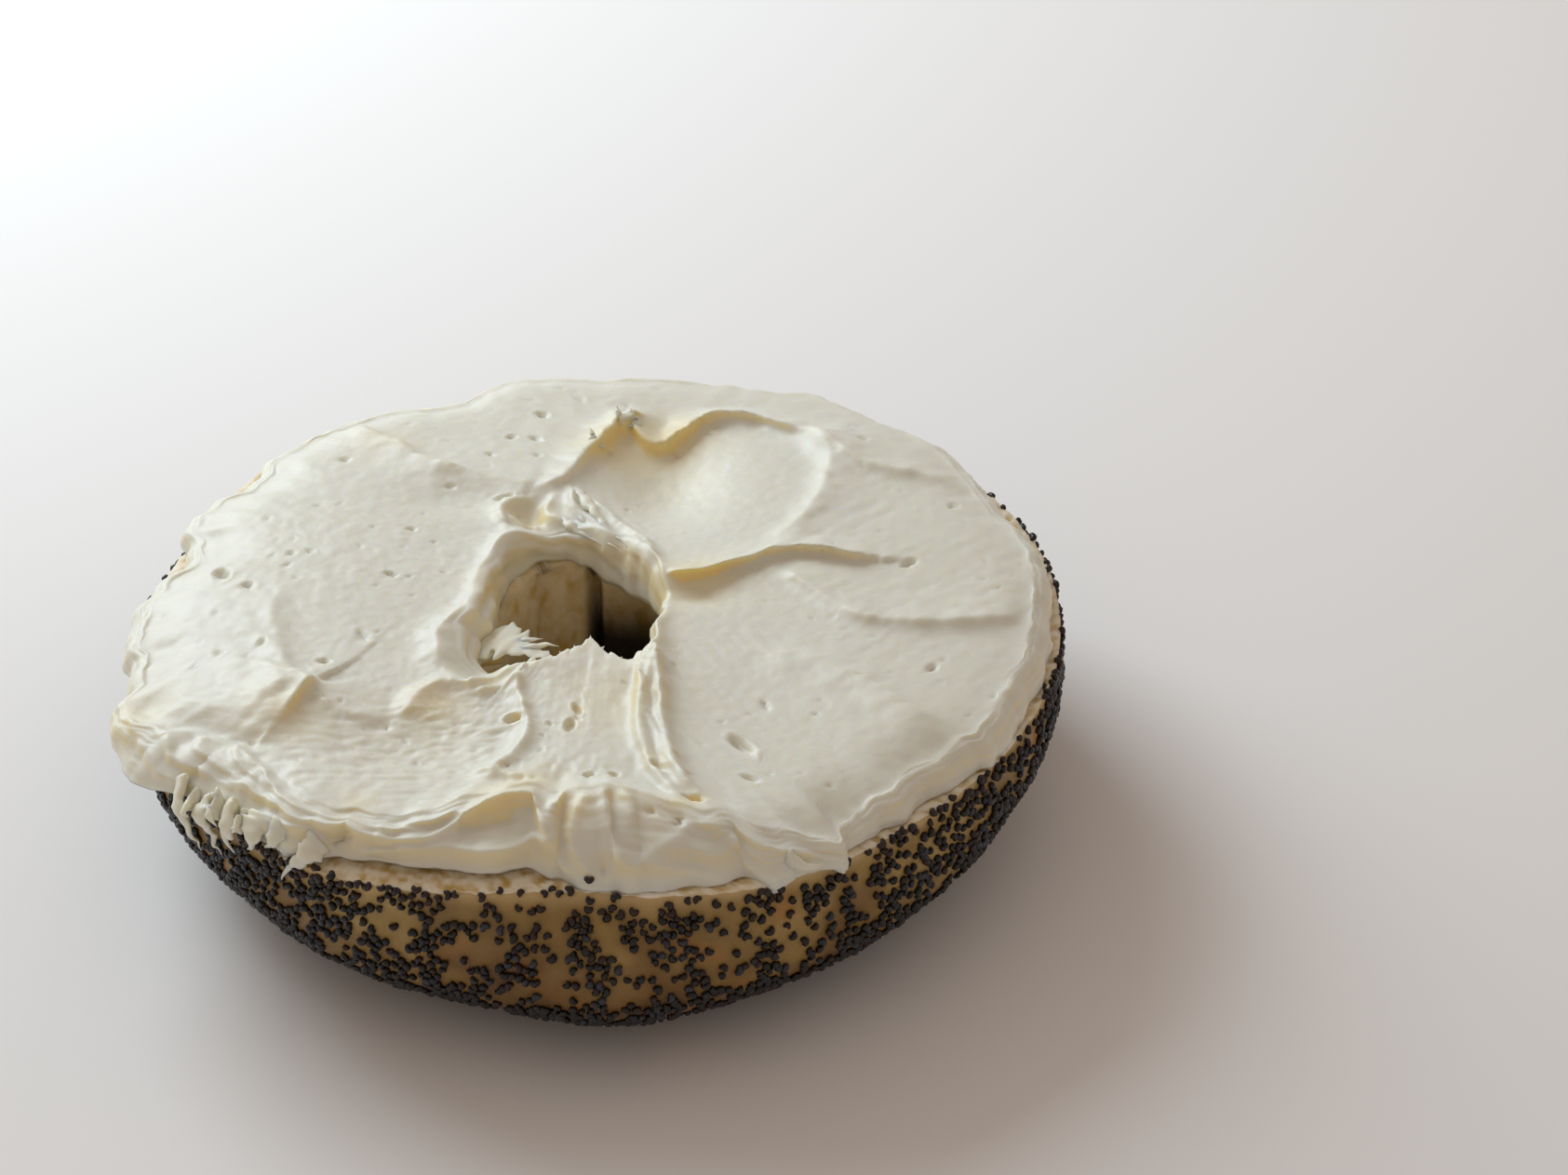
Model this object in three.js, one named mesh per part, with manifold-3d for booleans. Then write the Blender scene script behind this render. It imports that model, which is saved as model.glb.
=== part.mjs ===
// Half of a sliced poppy-seed bagel, lying on its crust, its cut face spread thickly with cream cheese.
// Millimetres, +Z up. The origin is the middle of the outline, at the foot of the crust.
import * as THREE from 'three';
import Module from 'manifold-3d';

// Driving dimensions of the bread
const CUT_HEIGHT = 24; // the cut face above the foot
const RIM_RADIUS = 56; // mean radius of the cut edge
const CRUST_TAPER = 26; // how far the rounded crust runs in from its widest line to the foot
const HOLE = { x: -2.2, y: -1.3, rx: 10.4, ry: 14.2 };
const HOLE_FLARE = 9; // the hole widens by this much toward the foot
const HOLE_FLARE_HEIGHT = 18;

// Driving dimensions of the spread
const GAP = 0.3; // clearance between the spread and the cut face
const SPREAD_THICKNESS = 4.7;
const EDGE_THICKNESS = 0.7;

// Driving dimensions of the seeds
const SEED = { length: 1.25, width: 1.0, height: 0.95 };
const SEED_SUNK = 0.4; // part of a seed's height that lies in the crust
const SEED_COUNT = 140;
const SEED_DRAW = 4118;

// The part is moved by this much so that the origin lies in the middle of its outline
const CENTRING = { x: 0.08, y: 1.25 };

// Mesh density
const BREAD_STEPS = 66;
const SPREAD_STEPS = 104;
// Sections lie closer together round this bearing, where the spread is most uneven
const FINE_PART = { bearing: 250, crowding: 14 };

// Uneven outlines: each swell is [bearing in degrees, half width in degrees, outward height in mm].
// Bearings run anticlockwise from +X as seen from above.
const RIM_SWELLS = [
  [238, 16, 2.4], [268, 10, -1.8], [294, 14, 1.2], [166, 14, -1.5], [128, 16, 1.2], [20, 26, 0.9],
  [72, 18, -0.8],
];
const BELLY_SWELLS = [[272, 45, 2], [277, 13, 1.4], [256, 10, -0.8], [40, 30, 1.2], [120, 26, 0.8]];
const WIDEST_LINE = { height: 19, front: 272, spread: 45, drop: 5 };

// Outline of the spread: [bearing, radius]
const SPREAD_EDGE = [
  [0, 55.6], [22, 54.8], [45, 55.8], [60, 56.2], [76, 55.2], [90, 55], [100, 55.6], [108, 55.6],
  [112, 53.6], [118, 53.4], [122, 55.6], [134, 55.8], [143, 55.4], [147, 53.6], [151, 53.4],
  [155, 55.4], [163, 55.2], [167, 53.2], [172, 51.8], [177, 54.8], [184, 56.8], [196, 56.8], [200, 57.6], [203, 60.2],
  [207, 61.4], [213, 61.6], [217, 60.2], [221, 58.4], [226, 57.7], [231, 57.8], [235, 58], [239, 57.6],
  [242, 56.2], [247, 54.7], [258, 53.7], [264, 51.9], [268, 52.8], [271, 54.4], [278, 55.3],
  [287, 55.6], [289.5, 55], [292.5, 57.8], [295, 57.2], [300.6, 58.2], [304, 55.4], [315, 54.8],
  [330, 56], [345, 55],
];
// Crest inside that edge: [bearing, distance from the edge, height]
const CREST = [
  [0, 2.8, 28.4], [50, 2.6, 28], [75, 2.4, 27.4], [104, 2.2, 27], [114, 2.2, 26.6], [135, 2.6, 27],
  [160, 2.6, 27.2], [186, 2.8, 27.4], [199, 2.6, 27.2], [205, 2.2, 27.2], [208, 2.8, 27.6], [211, 5.6, 28],
  [214, 8.4, 28.2], [220, 8.2, 28.3], [226, 6.7, 28.4], [235, 5.2, 29], [241, 4.4, 28.8], [247, 3.6, 28.9],
  [251, 5, 29.6], [255, 7.4, 30.2], [261, 8.2, 31], [267, 7.4, 30.8], [271, 9.4, 31.5], [275, 10.4, 31.4],
  [279, 9.2, 31], [283, 7.2, 30.6], [287, 6.2, 30], [291, 5.2, 29], [295, 4.4, 28], [298.5, 2.4, 26.8],
  [302, 2.4, 26.4], [312, 2.6, 27.6], [335, 2.8, 28.3],
];
const CREST_RUN_IN = 3.2; // the relief runs out into the crest over this distance
// Edge of the spread round the hole: [bearing, distance outside the hole in the bread]
const SPREAD_HOLE = [
  [0, -0.4], [20, -1.2], [45, -2.2], [70, -2], [90, -0.8], [104, 0.6], [120, 1], [135, 0.4], [160, -0.2],
  [185, -0.6], [200, 0.2], [208, 2.4], [222, 4.6], [231, 4.6], [240, 2.6], [250, 1], [262, -0.2], [275, -1.6],
  [284, -2.8], [288, -0.8], [293, 1.4], [302, 3.2], [312, 2.6], [330, 0.2],
];
// Width of the face that slopes into the hole: [bearing, width]
const HOLE_FACE = [
  [0, 1.2], [30, 1.6], [60, 2.4], [90, 2], [115, 1.6], [140, 2.2], [185, 2.8], [205, 3.4], [222, 2.6],
  [236, 1.4], [262, 1], [285, 0.8], [310, 1.1],
];

// Relief of the spread, read from above: soft mounds and scoops left by the knife
const MOUNDS = [
  { x: -35, y: 4, rx: 14, ry: 26, rise: 1.1 }, // broad smooth sweep on the left
  { x: 7, y: 25, rx: 7.5, ry: 12, rise: -2.9 }, // scoop behind the hole
  { x: -12, y: 42, rx: 22, ry: 10, rise: -0.5 },
  { x: -18, y: -33, rx: 11, ry: 7, rise: -1.2 }, // lower stretch behind the front lip
  { x: 19, y: -26, rx: 9, ry: 18, rise: -0.4 },
  { x: 36, y: 10, rx: 15, ry: 22, rise: 0.7 }, // broad smooth sweep on the right
  { x: 22, y: 44, rx: 16, ry: 7, rise: -0.6 },
  { x: -8, y: 15, rx: 4, ry: 4, rise: -1.9 }, // hollow behind the hole
  { x: -51.3, y: -24.8, rx: 2.8, ry: 3.2, rise: -2 }, // pocket in the horn on the left
  { x: -12.5, y: -16, rx: 2.6, ry: 4.5, rise: -1.9 },
  { x: -18, y: 20, rx: 8, ry: 4, rise: -0.7 },
];

// Ridges where one stroke of the knife ends against the next
const RIDGES = [
  { rise: 1.7, width: 2.2, path: [[-9.2, 13.2], [-12.6, 6.5], [-14.4, -3], [-18, -11], [-17, -19]] },
  { rise: 1.9, width: 1.5, path: [[4, 10], [7.4, -2], [7.9, -17], [7, -29.5], [10.3, -41]] },
  { rise: 1.7, width: 1.7, path: [[7.4, 1.6], [16.4, 4.2], [24, 6.5], [34, 5]] },
  { rise: 1.3, width: 2.4, path: [[-37.4, -12], [-36, -19], [-32.4, -23]] },
  { rise: 1.5, width: 2.2, path: [[-31.4, -22.4], [-35, -29], [-37.8, -33.4]] },
  { rise: 1, width: 1.8, path: [[-32, -23], [-26.5, -27.4], [-22.5, -27.5]] },
  { rise: 1.2, width: 1.6, path: [[-14, -21], [-6.6, -19.2], [-0.3, -12.8], [3, -17.2], [6, -18.6]] },
  { rise: 0.9, width: 1.4, path: [[-7.7, -19.5], [-6.5, -30.8], [-9.8, -40]] },
  { rise: 1.3, width: 1.8, path: [[-21.6, -27], [-19.3, -22.8], [-12.2, -22.2]] },
  { rise: 1.9, width: 2, path: [[-8.5, 22.5], [-4, 28.6], [0.9, 40.6]] }, // crest of the scoop
  { rise: 1.9, width: 1.9, path: [[0.9, 40.6], [6.2, 34.8], [11, 40], [14.5, 41.4], [25, 36]] },
  { rise: 1.2, width: 2.4, path: [[25, 37], [29, 29], [27, 18], [22, 9]] },
  { rise: 1.2, width: 2, path: [[-34, 40.5], [-26.7, 32.5], [-17.8, 25.5], [-9, 23.4]] },
  { rise: 1, width: 1.8, path: [[-20, 50], [-15, 52.4], [0, 53]] },
  { rise: 1.2, width: 2, path: [[-4, 22.5], [0.5, 13], [6.6, 2]] },
  { rise: 1, width: 2, path: [[22, 3], [33, -8], [46, -8], [54, -2]] },
  { rise: 1, width: 2, path: [[27, 36], [34, 27], [45, 24], [51, 15]] },
  { rise: 1, width: 2.4, path: [[20, -14], [30, -19], [42, -33]] },
];

const radians = THREE.MathUtils.degToRad;

/** Sum of the swells at a bearing. */
function swelling(swells, bearing) {
  let sum = 0;
  for (const [centre, halfWidth, height] of swells) {
    const away = THREE.MathUtils.euclideanModulo(bearing - centre + 180, 360) - 180;
    sum += height * Math.exp(-((away / halfWidth) ** 2));
  }
  return sum;
}

/** Height of a smooth closed outline at a bearing; its points start with a bearing. */
function outlineAt(points, bearing, column = 1) {
  const turned = THREE.MathUtils.euclideanModulo(bearing, 360);
  let last = points.length - 1;
  while (points[last][0] > turned) last -= 1;
  const here = points[last];
  const next = points[(last + 1) % points.length];
  const span = THREE.MathUtils.euclideanModulo(next[0] - here[0], 360);
  const share = (turned - here[0]) / span;
  return THREE.MathUtils.lerp(here[column], next[column], 0.5 - 0.5 * Math.cos(Math.PI * share));
}

/** Repeatable draw of numbers from 0 to 1. */
function seededDraw(seed) {
  let state = seed;
  return () => {
    state = (state + 0x6d2b79f5) | 0;
    let mixed = Math.imul(state ^ (state >>> 15), 1 | state);
    mixed = (mixed + Math.imul(mixed ^ (mixed >>> 7), 61 | mixed)) ^ mixed;
    return ((mixed ^ (mixed >>> 14)) >>> 0) / 4294967296;
  };
}

/** Closed ring-shaped body from closed loops of points, one loop for each bearing. */
function ringGeometry(steps, loopAt) {
  const positions = [];
  const index = [];
  let count = 0;
  for (let i = 0; i < steps; i += 1) {
    const loop = loopAt((360 * i) / steps);
    count = loop.length;
    for (const point of loop) positions.push(point.x, point.y, point.z);
  }
  for (let i = 0; i < steps; i += 1) {
    const next = (i + 1) % steps;
    for (let k = 0; k < count; k += 1) {
      const after = (k + 1) % count;
      const corner = [i * count + k, i * count + after, next * count + after, next * count + k];
      index.push(corner[0], corner[1], corner[2], corner[0], corner[2], corner[3]);
    }
  }
  const geometry = new THREE.BufferGeometry();
  geometry.setAttribute('position', new THREE.Float32BufferAttribute(positions, 3));
  geometry.setIndex(index);
  return geometry;
}

/** Point on the hole's outline, grown outward by a distance. */
function holePoint(bearing, grow, height) {
  const angle = radians(bearing);
  return new THREE.Vector3(
    HOLE.x + (HOLE.rx + grow) * Math.cos(angle),
    HOLE.y + (HOLE.ry + grow) * Math.sin(angle),
    height,
  );
}

/** Point at a radius from the middle of the ring. */
function outerPoint(bearing, radius, height) {
  const angle = radians(bearing);
  return new THREE.Vector3(radius * Math.cos(angle), radius * Math.sin(angle), height);
}

/** Radius and height of the crust, from the cut edge (along = 0) to the foot (along = 1). */
function crustAt(bearing, along) {
  const rim = RIM_RADIUS + swelling(RIM_SWELLS, bearing);
  const belly = RIM_RADIUS + swelling(BELLY_SWELLS, bearing);
  const widest = WIDEST_LINE.height
    - swelling([[WIDEST_LINE.front, WIDEST_LINE.spread, WIDEST_LINE.drop]], bearing);
  const shoulder = 0.3;
  if (along < shoulder) {
    const part = along / shoulder;
    const radius = THREE.MathUtils.lerp(rim, belly, Math.sin((part * Math.PI) / 2));
    return { radius, height: THREE.MathUtils.lerp(CUT_HEIGHT, widest, part) };
  }
  const turn = (((along - shoulder) / (1 - shoulder)) * Math.PI) / 2;
  return {
    radius: belly - CRUST_TAPER * (1 - Math.cos(turn)),
    height: widest * (1 - Math.sin(turn)),
  };
}

/** Closed section of the bread: crust, foot, hole wall and cut face. */
function breadLoop(bearing) {
  const loop = [];
  const crustSteps = 10;
  for (let k = 0; k <= crustSteps; k += 1) {
    const { radius, height } = crustAt(bearing, k / crustSteps);
    loop.push(outerPoint(bearing, radius, height));
  }
  const holeSteps = 5;
  for (let k = 0; k <= holeSteps; k += 1) {
    const turn = ((k / holeSteps) * Math.PI) / 2;
    const height = HOLE_FLARE_HEIGHT * (1 - Math.cos(turn));
    loop.push(holePoint(bearing, HOLE_FLARE * (1 - Math.sin(turn)), height));
  }
  const edge = holePoint(bearing, 0, CUT_HEIGHT);
  const cutSteps = 4;
  for (let k = 0; k < cutSteps; k += 1) {
    loop.push(edge.clone().lerp(loop[0], k / cutSteps));
  }
  return loop;
}

/** Distance from a point to a path in the plane. */
function distanceToPath(x, y, path) {
  const point = new THREE.Vector3(x, y, 0);
  const nearest = new THREE.Vector3();
  let least = Infinity;
  for (let i = 0; i + 1 < path.length; i += 1) {
    const piece = new THREE.Line3(new THREE.Vector3(...path[i], 0), new THREE.Vector3(...path[i + 1], 0));
    piece.closestPointToPoint(point, true, nearest);
    least = Math.min(least, nearest.distanceTo(point));
  }
  return least;
}

/** Thickness of the spread away from its edges. */
function spreadThickness(x, y) {
  let thickness = SPREAD_THICKNESS;
  for (const mound of MOUNDS) {
    const away = ((x - mound.x) / mound.rx) ** 2 + ((y - mound.y) / mound.ry) ** 2;
    thickness += mound.rise * Math.exp(-away);
  }
  for (const ridge of RIDGES) {
    const away = distanceToPath(x, y, ridge.path) / ridge.width;
    thickness += ridge.rise * Math.exp(-(away ** 2));
  }
  return thickness;
}

/** Closed section of the spread: hole face, top, outer face and underside. */
function spreadLoop(even) {
  const bearing = even - FINE_PART.crowding * Math.sin(radians(even - FINE_PART.bearing));
  const outer = outerPoint(bearing, outlineAt(SPREAD_EDGE, bearing), 0);
  const inner = holePoint(bearing, outlineAt(SPREAD_HOLE, bearing), 0);
  const crest = outer.clone().setLength(outer.length() - outlineAt(CREST, bearing));
  const brink = inner.clone().lerp(crest, outlineAt(HOLE_FACE, bearing) / inner.distanceTo(crest));
  const crestHeight = outlineAt(CREST, bearing, 2);
  const under = CUT_HEIGHT + GAP;
  const thin = under + EDGE_THICKNESS;
  const loop = [];
  const topSteps = 14;
  const top = [];
  for (let k = 0; k <= topSteps; k += 1) {
    const point = brink.clone().lerp(crest, k / topSteps);
    const near = Math.exp(-((point.distanceTo(crest) / CREST_RUN_IN) ** 1.6));
    point.z = THREE.MathUtils.lerp(CUT_HEIGHT + spreadThickness(point.x, point.y), crestHeight, near);
    top.push(point);
  }
  const holeSteps = 3;
  for (let k = 0; k < holeSteps; k += 1) {
    const turn = ((k / holeSteps) * Math.PI) / 2;
    const point = inner.clone().lerp(brink, 1 - Math.cos(turn));
    loop.push(point.setZ(THREE.MathUtils.lerp(thin, top[0].z, Math.sin(turn))));
  }
  loop.push(...top);
  const faceSteps = 4;
  for (let k = 1; k <= faceSteps; k += 1) {
    const turn = ((k / faceSteps) * Math.PI) / 2;
    const point = crest.clone().setZ(0).lerp(outer, Math.sin(turn));
    loop.push(point.setZ(THREE.MathUtils.lerp(crestHeight, thin, 1 - Math.cos(turn))));
  }
  loop.push(outer.clone().lerp(inner, 0.01).setZ(under));
  loop.push(outer.clone().lerp(inner, 0.5).setZ(under));
  loop.push(inner.clone().lerp(outer, 0.01).setZ(under));
  return loop;
}

/** One low seed, lying on the crust at a bearing and a share of the way to the foot. */
function seedGeometry(bearing, along, turn) {
  const step = 0.01;
  const here = crustAt(bearing, along);
  const below = crustAt(bearing, along + step);
  const place = outerPoint(bearing, here.radius, here.height);
  const down = outerPoint(bearing, below.radius, below.height).sub(place).normalize();
  const sideways = outerPoint(bearing + 90, 1, 0);
  const outward = down.clone().cross(sideways).normalize();
  if (outward.dot(outerPoint(bearing, 1, 0)) < 0) outward.negate();
  const basis = new THREE.Matrix4().makeBasis(sideways, outward.clone().cross(sideways), outward);
  const geometry = new THREE.IcosahedronGeometry(0.5, 0);
  geometry.scale(SEED.length, SEED.width, SEED.height);
  geometry.rotateZ(turn);
  geometry.translate(0, 0, SEED.height * (0.5 - SEED_SUNK));
  geometry.applyMatrix4(basis);
  geometry.translate(place.x, place.y, place.z);
  return geometry;
}

/** How thickly the seeds lie: close toward the foot and at the ends, sparse high up on the front. */
function seedChance(bearing, along) {
  const frontBare = swelling([[270, 34, 0.75]], bearing) * (1 - THREE.MathUtils.smoothstep(along, 0.2, 0.75));
  return 1 - frontBare;
}

/** Merges a geometry's shared vertices and makes it a solid that can be joined or cut. */
function toSolid(library, geometry) {
  const positions = geometry.getAttribute('position');
  const order = geometry.getIndex();
  const corners = order ? order.count : positions.count;
  const known = new Map();
  const vertices = [];
  const triangles = [];
  for (let i = 0; i < corners; i += 1) {
    const at = order ? order.getX(i) : i;
    const point = [positions.getX(at), positions.getY(at), positions.getZ(at)];
    const key = point.map((value) => value.toFixed(5)).join();
    if (!known.has(key)) {
      known.set(key, vertices.length / 3);
      vertices.push(...point);
    }
    triangles.push(known.get(key));
  }
  return new library.Manifold(new library.Mesh({
    numProp: 3,
    vertProperties: new Float32Array(vertices),
    triVerts: new Uint32Array(triangles),
  }));
}

/** Geometry of a solid. */
function toGeometry(solid) {
  const mesh = solid.getMesh();
  const geometry = new THREE.BufferGeometry();
  geometry.setAttribute('position', new THREE.Float32BufferAttribute(mesh.vertProperties, 3));
  geometry.setIndex(new THREE.Uint32BufferAttribute(mesh.triVerts, 1));
  return geometry;
}

/** The bread with its seeds fused to the crust. */
function breadGeometry(library) {
  const draw = seededDraw(SEED_DRAW);
  const seeds = [];
  const golden = 0.618034;
  for (let i = 0; seeds.length < SEED_COUNT; i += 1) {
    const bearing = 360 * ((i * golden) % 1) + 4 * draw();
    const along = 0.16 + 0.66 * Math.sqrt(draw());
    if (draw() < seedChance(bearing, along)) {
      seeds.push(toSolid(library, seedGeometry(bearing, along, Math.PI * draw())));
    }
  }
  const crumb = toSolid(library, ringGeometry(BREAD_STEPS, breadLoop));
  return toGeometry(library.Manifold.union([crumb, ...seeds]));
}

function breadMesh(library) {
  const material = new THREE.MeshStandardMaterial({ color: 0xb98a55, roughness: 0.72, metalness: 0 });
  const mesh = new THREE.Mesh(breadGeometry(library), material);
  mesh.name = 'bread';
  return mesh;
}

function creamCheeseMesh() {
  const material = new THREE.MeshStandardMaterial({ color: 0xefe9d6, roughness: 0.42, metalness: 0 });
  const mesh = new THREE.Mesh(ringGeometry(SPREAD_STEPS, spreadLoop), material);
  mesh.name = 'cream_cheese';
  return mesh;
}

const library = await Module();
library.setup();

const bagel = new THREE.Group();
bagel.add(breadMesh(library), creamCheeseMesh());
bagel.position.set(CENTRING.x, CENTRING.y, 0);

export default bagel;
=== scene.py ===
# Half of a sliced poppy-seed bagel, spread with cream cheese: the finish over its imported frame.
import math

import bpy
from mathutils import Matrix
import numpy as np


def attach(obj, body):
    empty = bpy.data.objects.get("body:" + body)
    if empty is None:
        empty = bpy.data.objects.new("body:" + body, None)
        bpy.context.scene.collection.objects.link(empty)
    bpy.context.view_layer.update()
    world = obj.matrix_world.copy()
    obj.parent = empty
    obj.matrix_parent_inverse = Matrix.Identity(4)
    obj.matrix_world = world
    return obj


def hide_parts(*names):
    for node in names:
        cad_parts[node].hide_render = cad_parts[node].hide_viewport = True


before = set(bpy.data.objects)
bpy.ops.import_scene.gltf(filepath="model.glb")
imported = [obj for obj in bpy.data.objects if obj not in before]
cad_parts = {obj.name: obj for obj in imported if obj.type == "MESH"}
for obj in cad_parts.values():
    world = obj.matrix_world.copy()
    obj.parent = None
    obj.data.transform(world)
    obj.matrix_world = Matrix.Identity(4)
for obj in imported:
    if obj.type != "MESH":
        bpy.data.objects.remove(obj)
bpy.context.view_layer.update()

# All sizes are millimetres and bearings are degrees, anticlockwise from +X as seen from above.
MM = 0.001
CENTRING = np.array([0.08, 1.25, 0.0])

# Bread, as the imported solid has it
CUT_HEIGHT = 24.0
RIM_RADIUS = 56.0
CRUST_TAPER = 26.0
HOLE = {"x": -2.2, "y": -1.3, "rx": 10.4, "ry": 14.2}
HOLE_FLARE = 9.0
HOLE_FLARE_HEIGHT = 18.0
SHOULDER = 0.3
WIDEST_LINE = {"height": 19.0, "front": 272, "spread": 45, "drop": 5.0}
# A swell is (bearing, half width, outward height)
RIM_SWELLS = [
    (238, 16, 2.4), (268, 10, -1.8), (294, 14, 1.2), (166, 14, -1.5), (128, 16, 1.2), (20, 26, 0.9),
    (72, 18, -0.8),
]
BELLY_SWELLS = [
    (272, 45, 2), (277, 13, 1.4), (256, 10, -0.8), (40, 30, 1.2), (120, 26, 0.8),
]
# Creases of the hole wall: (bearing, half width, depth)
HOLE_CREASES = [
    (84, 3.5, 2.8), (118, 5, 0.9), (48, 16, 2.4), (160, 5, 0.7), (215, 6, 0.8), (300, 7, 0.9),
]

# Outline of the spread: (bearing, radius)
SPREAD_EDGE = [
    (0, 55.6), (22, 54.8), (45, 55.8), (60, 56.2), (76, 55.2), (90, 55), (100, 55.6), (108, 55.6),
    (112, 53.6), (118, 53.4), (122, 55.6), (134, 55.8), (143, 55.4), (147, 53.6), (151, 53.4),
    (155, 55.4), (163, 55.2), (167, 53.2), (172, 51.8), (177, 54.8), (184, 56.8), (196, 56.8),
    (200, 57.6), (203, 60.2), (207, 61.4), (213, 61.6), (217, 60.2), (221, 58.4), (226, 57.7),
    (231, 57.8), (235, 58), (239, 57.6), (242, 56.2), (247, 54.7), (258, 53.7), (264, 51.9), (268, 52.8),
    (271, 54.4), (278, 55.3), (287, 55.6), (289.5, 55), (292.5, 57.8), (295, 57.2), (298, 57.4),
    (300.6, 58.4), (302.2, 55.6), (306, 54.8), (315, 54.8), (330, 56), (345, 55),
]
# Crest inside that edge: (bearing, distance from the edge, height)
CREST = [
    (0, 2.8, 28.4), (50, 2.6, 28), (75, 2.4, 27.4), (104, 2.2, 27), (114, 2.2, 26.6), (135, 2.6, 27),
    (160, 2.6, 27.2), (186, 2.8, 27.4), (199, 2.6, 27.2), (205, 2.2, 27.2), (208, 2.8, 27.6),
    (211, 5.6, 28), (214, 8.4, 28.2), (220, 8.2, 28.3), (226, 6.7, 28.4), (235, 5.2, 29),
    (241, 4.4, 28.8), (247, 3.6, 28.9), (251, 5, 29.6), (255, 7.4, 30.2), (261, 8.2, 31),
    (267, 7.4, 30.8), (271, 9.4, 31.5), (275, 10.4, 31.4), (279, 9.2, 31), (283, 7.2, 30.6),
    (287, 6.2, 30), (291, 5.2, 29), (295, 4.4, 28), (298.5, 2.4, 26.8), (302, 2.4, 26.4),
    (312, 2.6, 27.6), (335, 2.8, 28.3),
]
# Height of the spread's lowest edge: (bearing, height)
EDGE_HEIGHT = [
    (0, 24.3), (190, 24.2), (202, 24), (209, 23.6), (215, 24), (219, 24.6), (223, 25.4), (227, 25.6),
    (231, 24.6), (236, 24.9), (243, 25), (251, 25.2), (262, 25.1), (268, 24.4), (276, 24.2), (289, 24.3),
    (292.5, 23.4), (296, 24.2), (300, 23.8), (304, 24.3),
]
# Strands that hang from that edge over the crust: (bearing, half width, length)
STRANDS = [
    (218.4, 0.8, 1.6), (231.6, 0.8, 1), (235.8, 0.9, 1.2), (238, 1.4, 0.9), (270.4, 1, 1),
    (292.8, 1.3, 1.1), (300.6, 0.9, 0.9),
]
# Edge of the spread round the hole: (bearing, distance outside the hole in the bread, height)
SPREAD_HOLE = [
    (0, -0.4, 24.2), (20, -1.2, 23.4), (45, -2.2, 22.4), (70, -2, 22.6), (90, -0.8, 23.6),
    (104, 0.6, 24.2), (120, 1, 24.3), (135, 0.4, 24.3), (160, -0.2, 24.3), (185, -0.6, 24.3),
    (200, 0.2, 24.3), (208, 2.4, 24.3), (222, 4.6, 24.4), (231, 4.6, 24.4), (240, 2.6, 24.4),
    (250, 1, 24.4), (262, -0.2, 24.6), (275, -1.6, 25.2), (284, -2.8, 25.8), (288, -0.8, 25),
    (293, 1.4, 24.4), (302, 3.2, 24.2), (312, 2.6, 24.2), (330, 0.2, 24.2),
]
# Width of the face that slopes into the hole: (bearing, width)
HOLE_FACE = [
    (0, 1.2), (30, 1.6), (60, 2.4), (90, 2), (115, 1.6), (140, 2.2), (185, 2.8), (205, 3.4), (222, 2.6),
    (236, 1.4), (262, 1), (285, 0.8), (310, 1.1),
]

# Relief of the spread, read from above. A mound is (x, y, reach in x, reach in y, rise).
SPREAD_THICKNESS = 4.7
MOUNDS = [
    (-35, 4, 14, 26, 1.1), (7, 26, 7.5, 12, -3.2), (-12, 42, 22, 10, -0.5), (-18, -33, 11, 7, -1.2),
    (0, -30, 7, 8, 0.2), (19, -26, 9, 18, -0.4), (36, 10, 15, 22, 0.7), (22, 44, 16, 7, -0.6),
    (-9, 17, 2.2, 3.4, -2), (-51.3, -24.8, 2.8, 3.2, -2), (12, -1.6, 4.5, 2.4, -0.9),
    (-18, 20, 8, 4, -0.7), (-5, -41, 3.6, 1.6, -0.8), (30, -46, 6, 7, -0.6), (-5.2, 13.5, 3.6, 3, -1.9),
    (-12.5, -16, 2.6, 4.5, -1.9), (-1, 9, 5, 4, -0.6),
]
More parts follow.
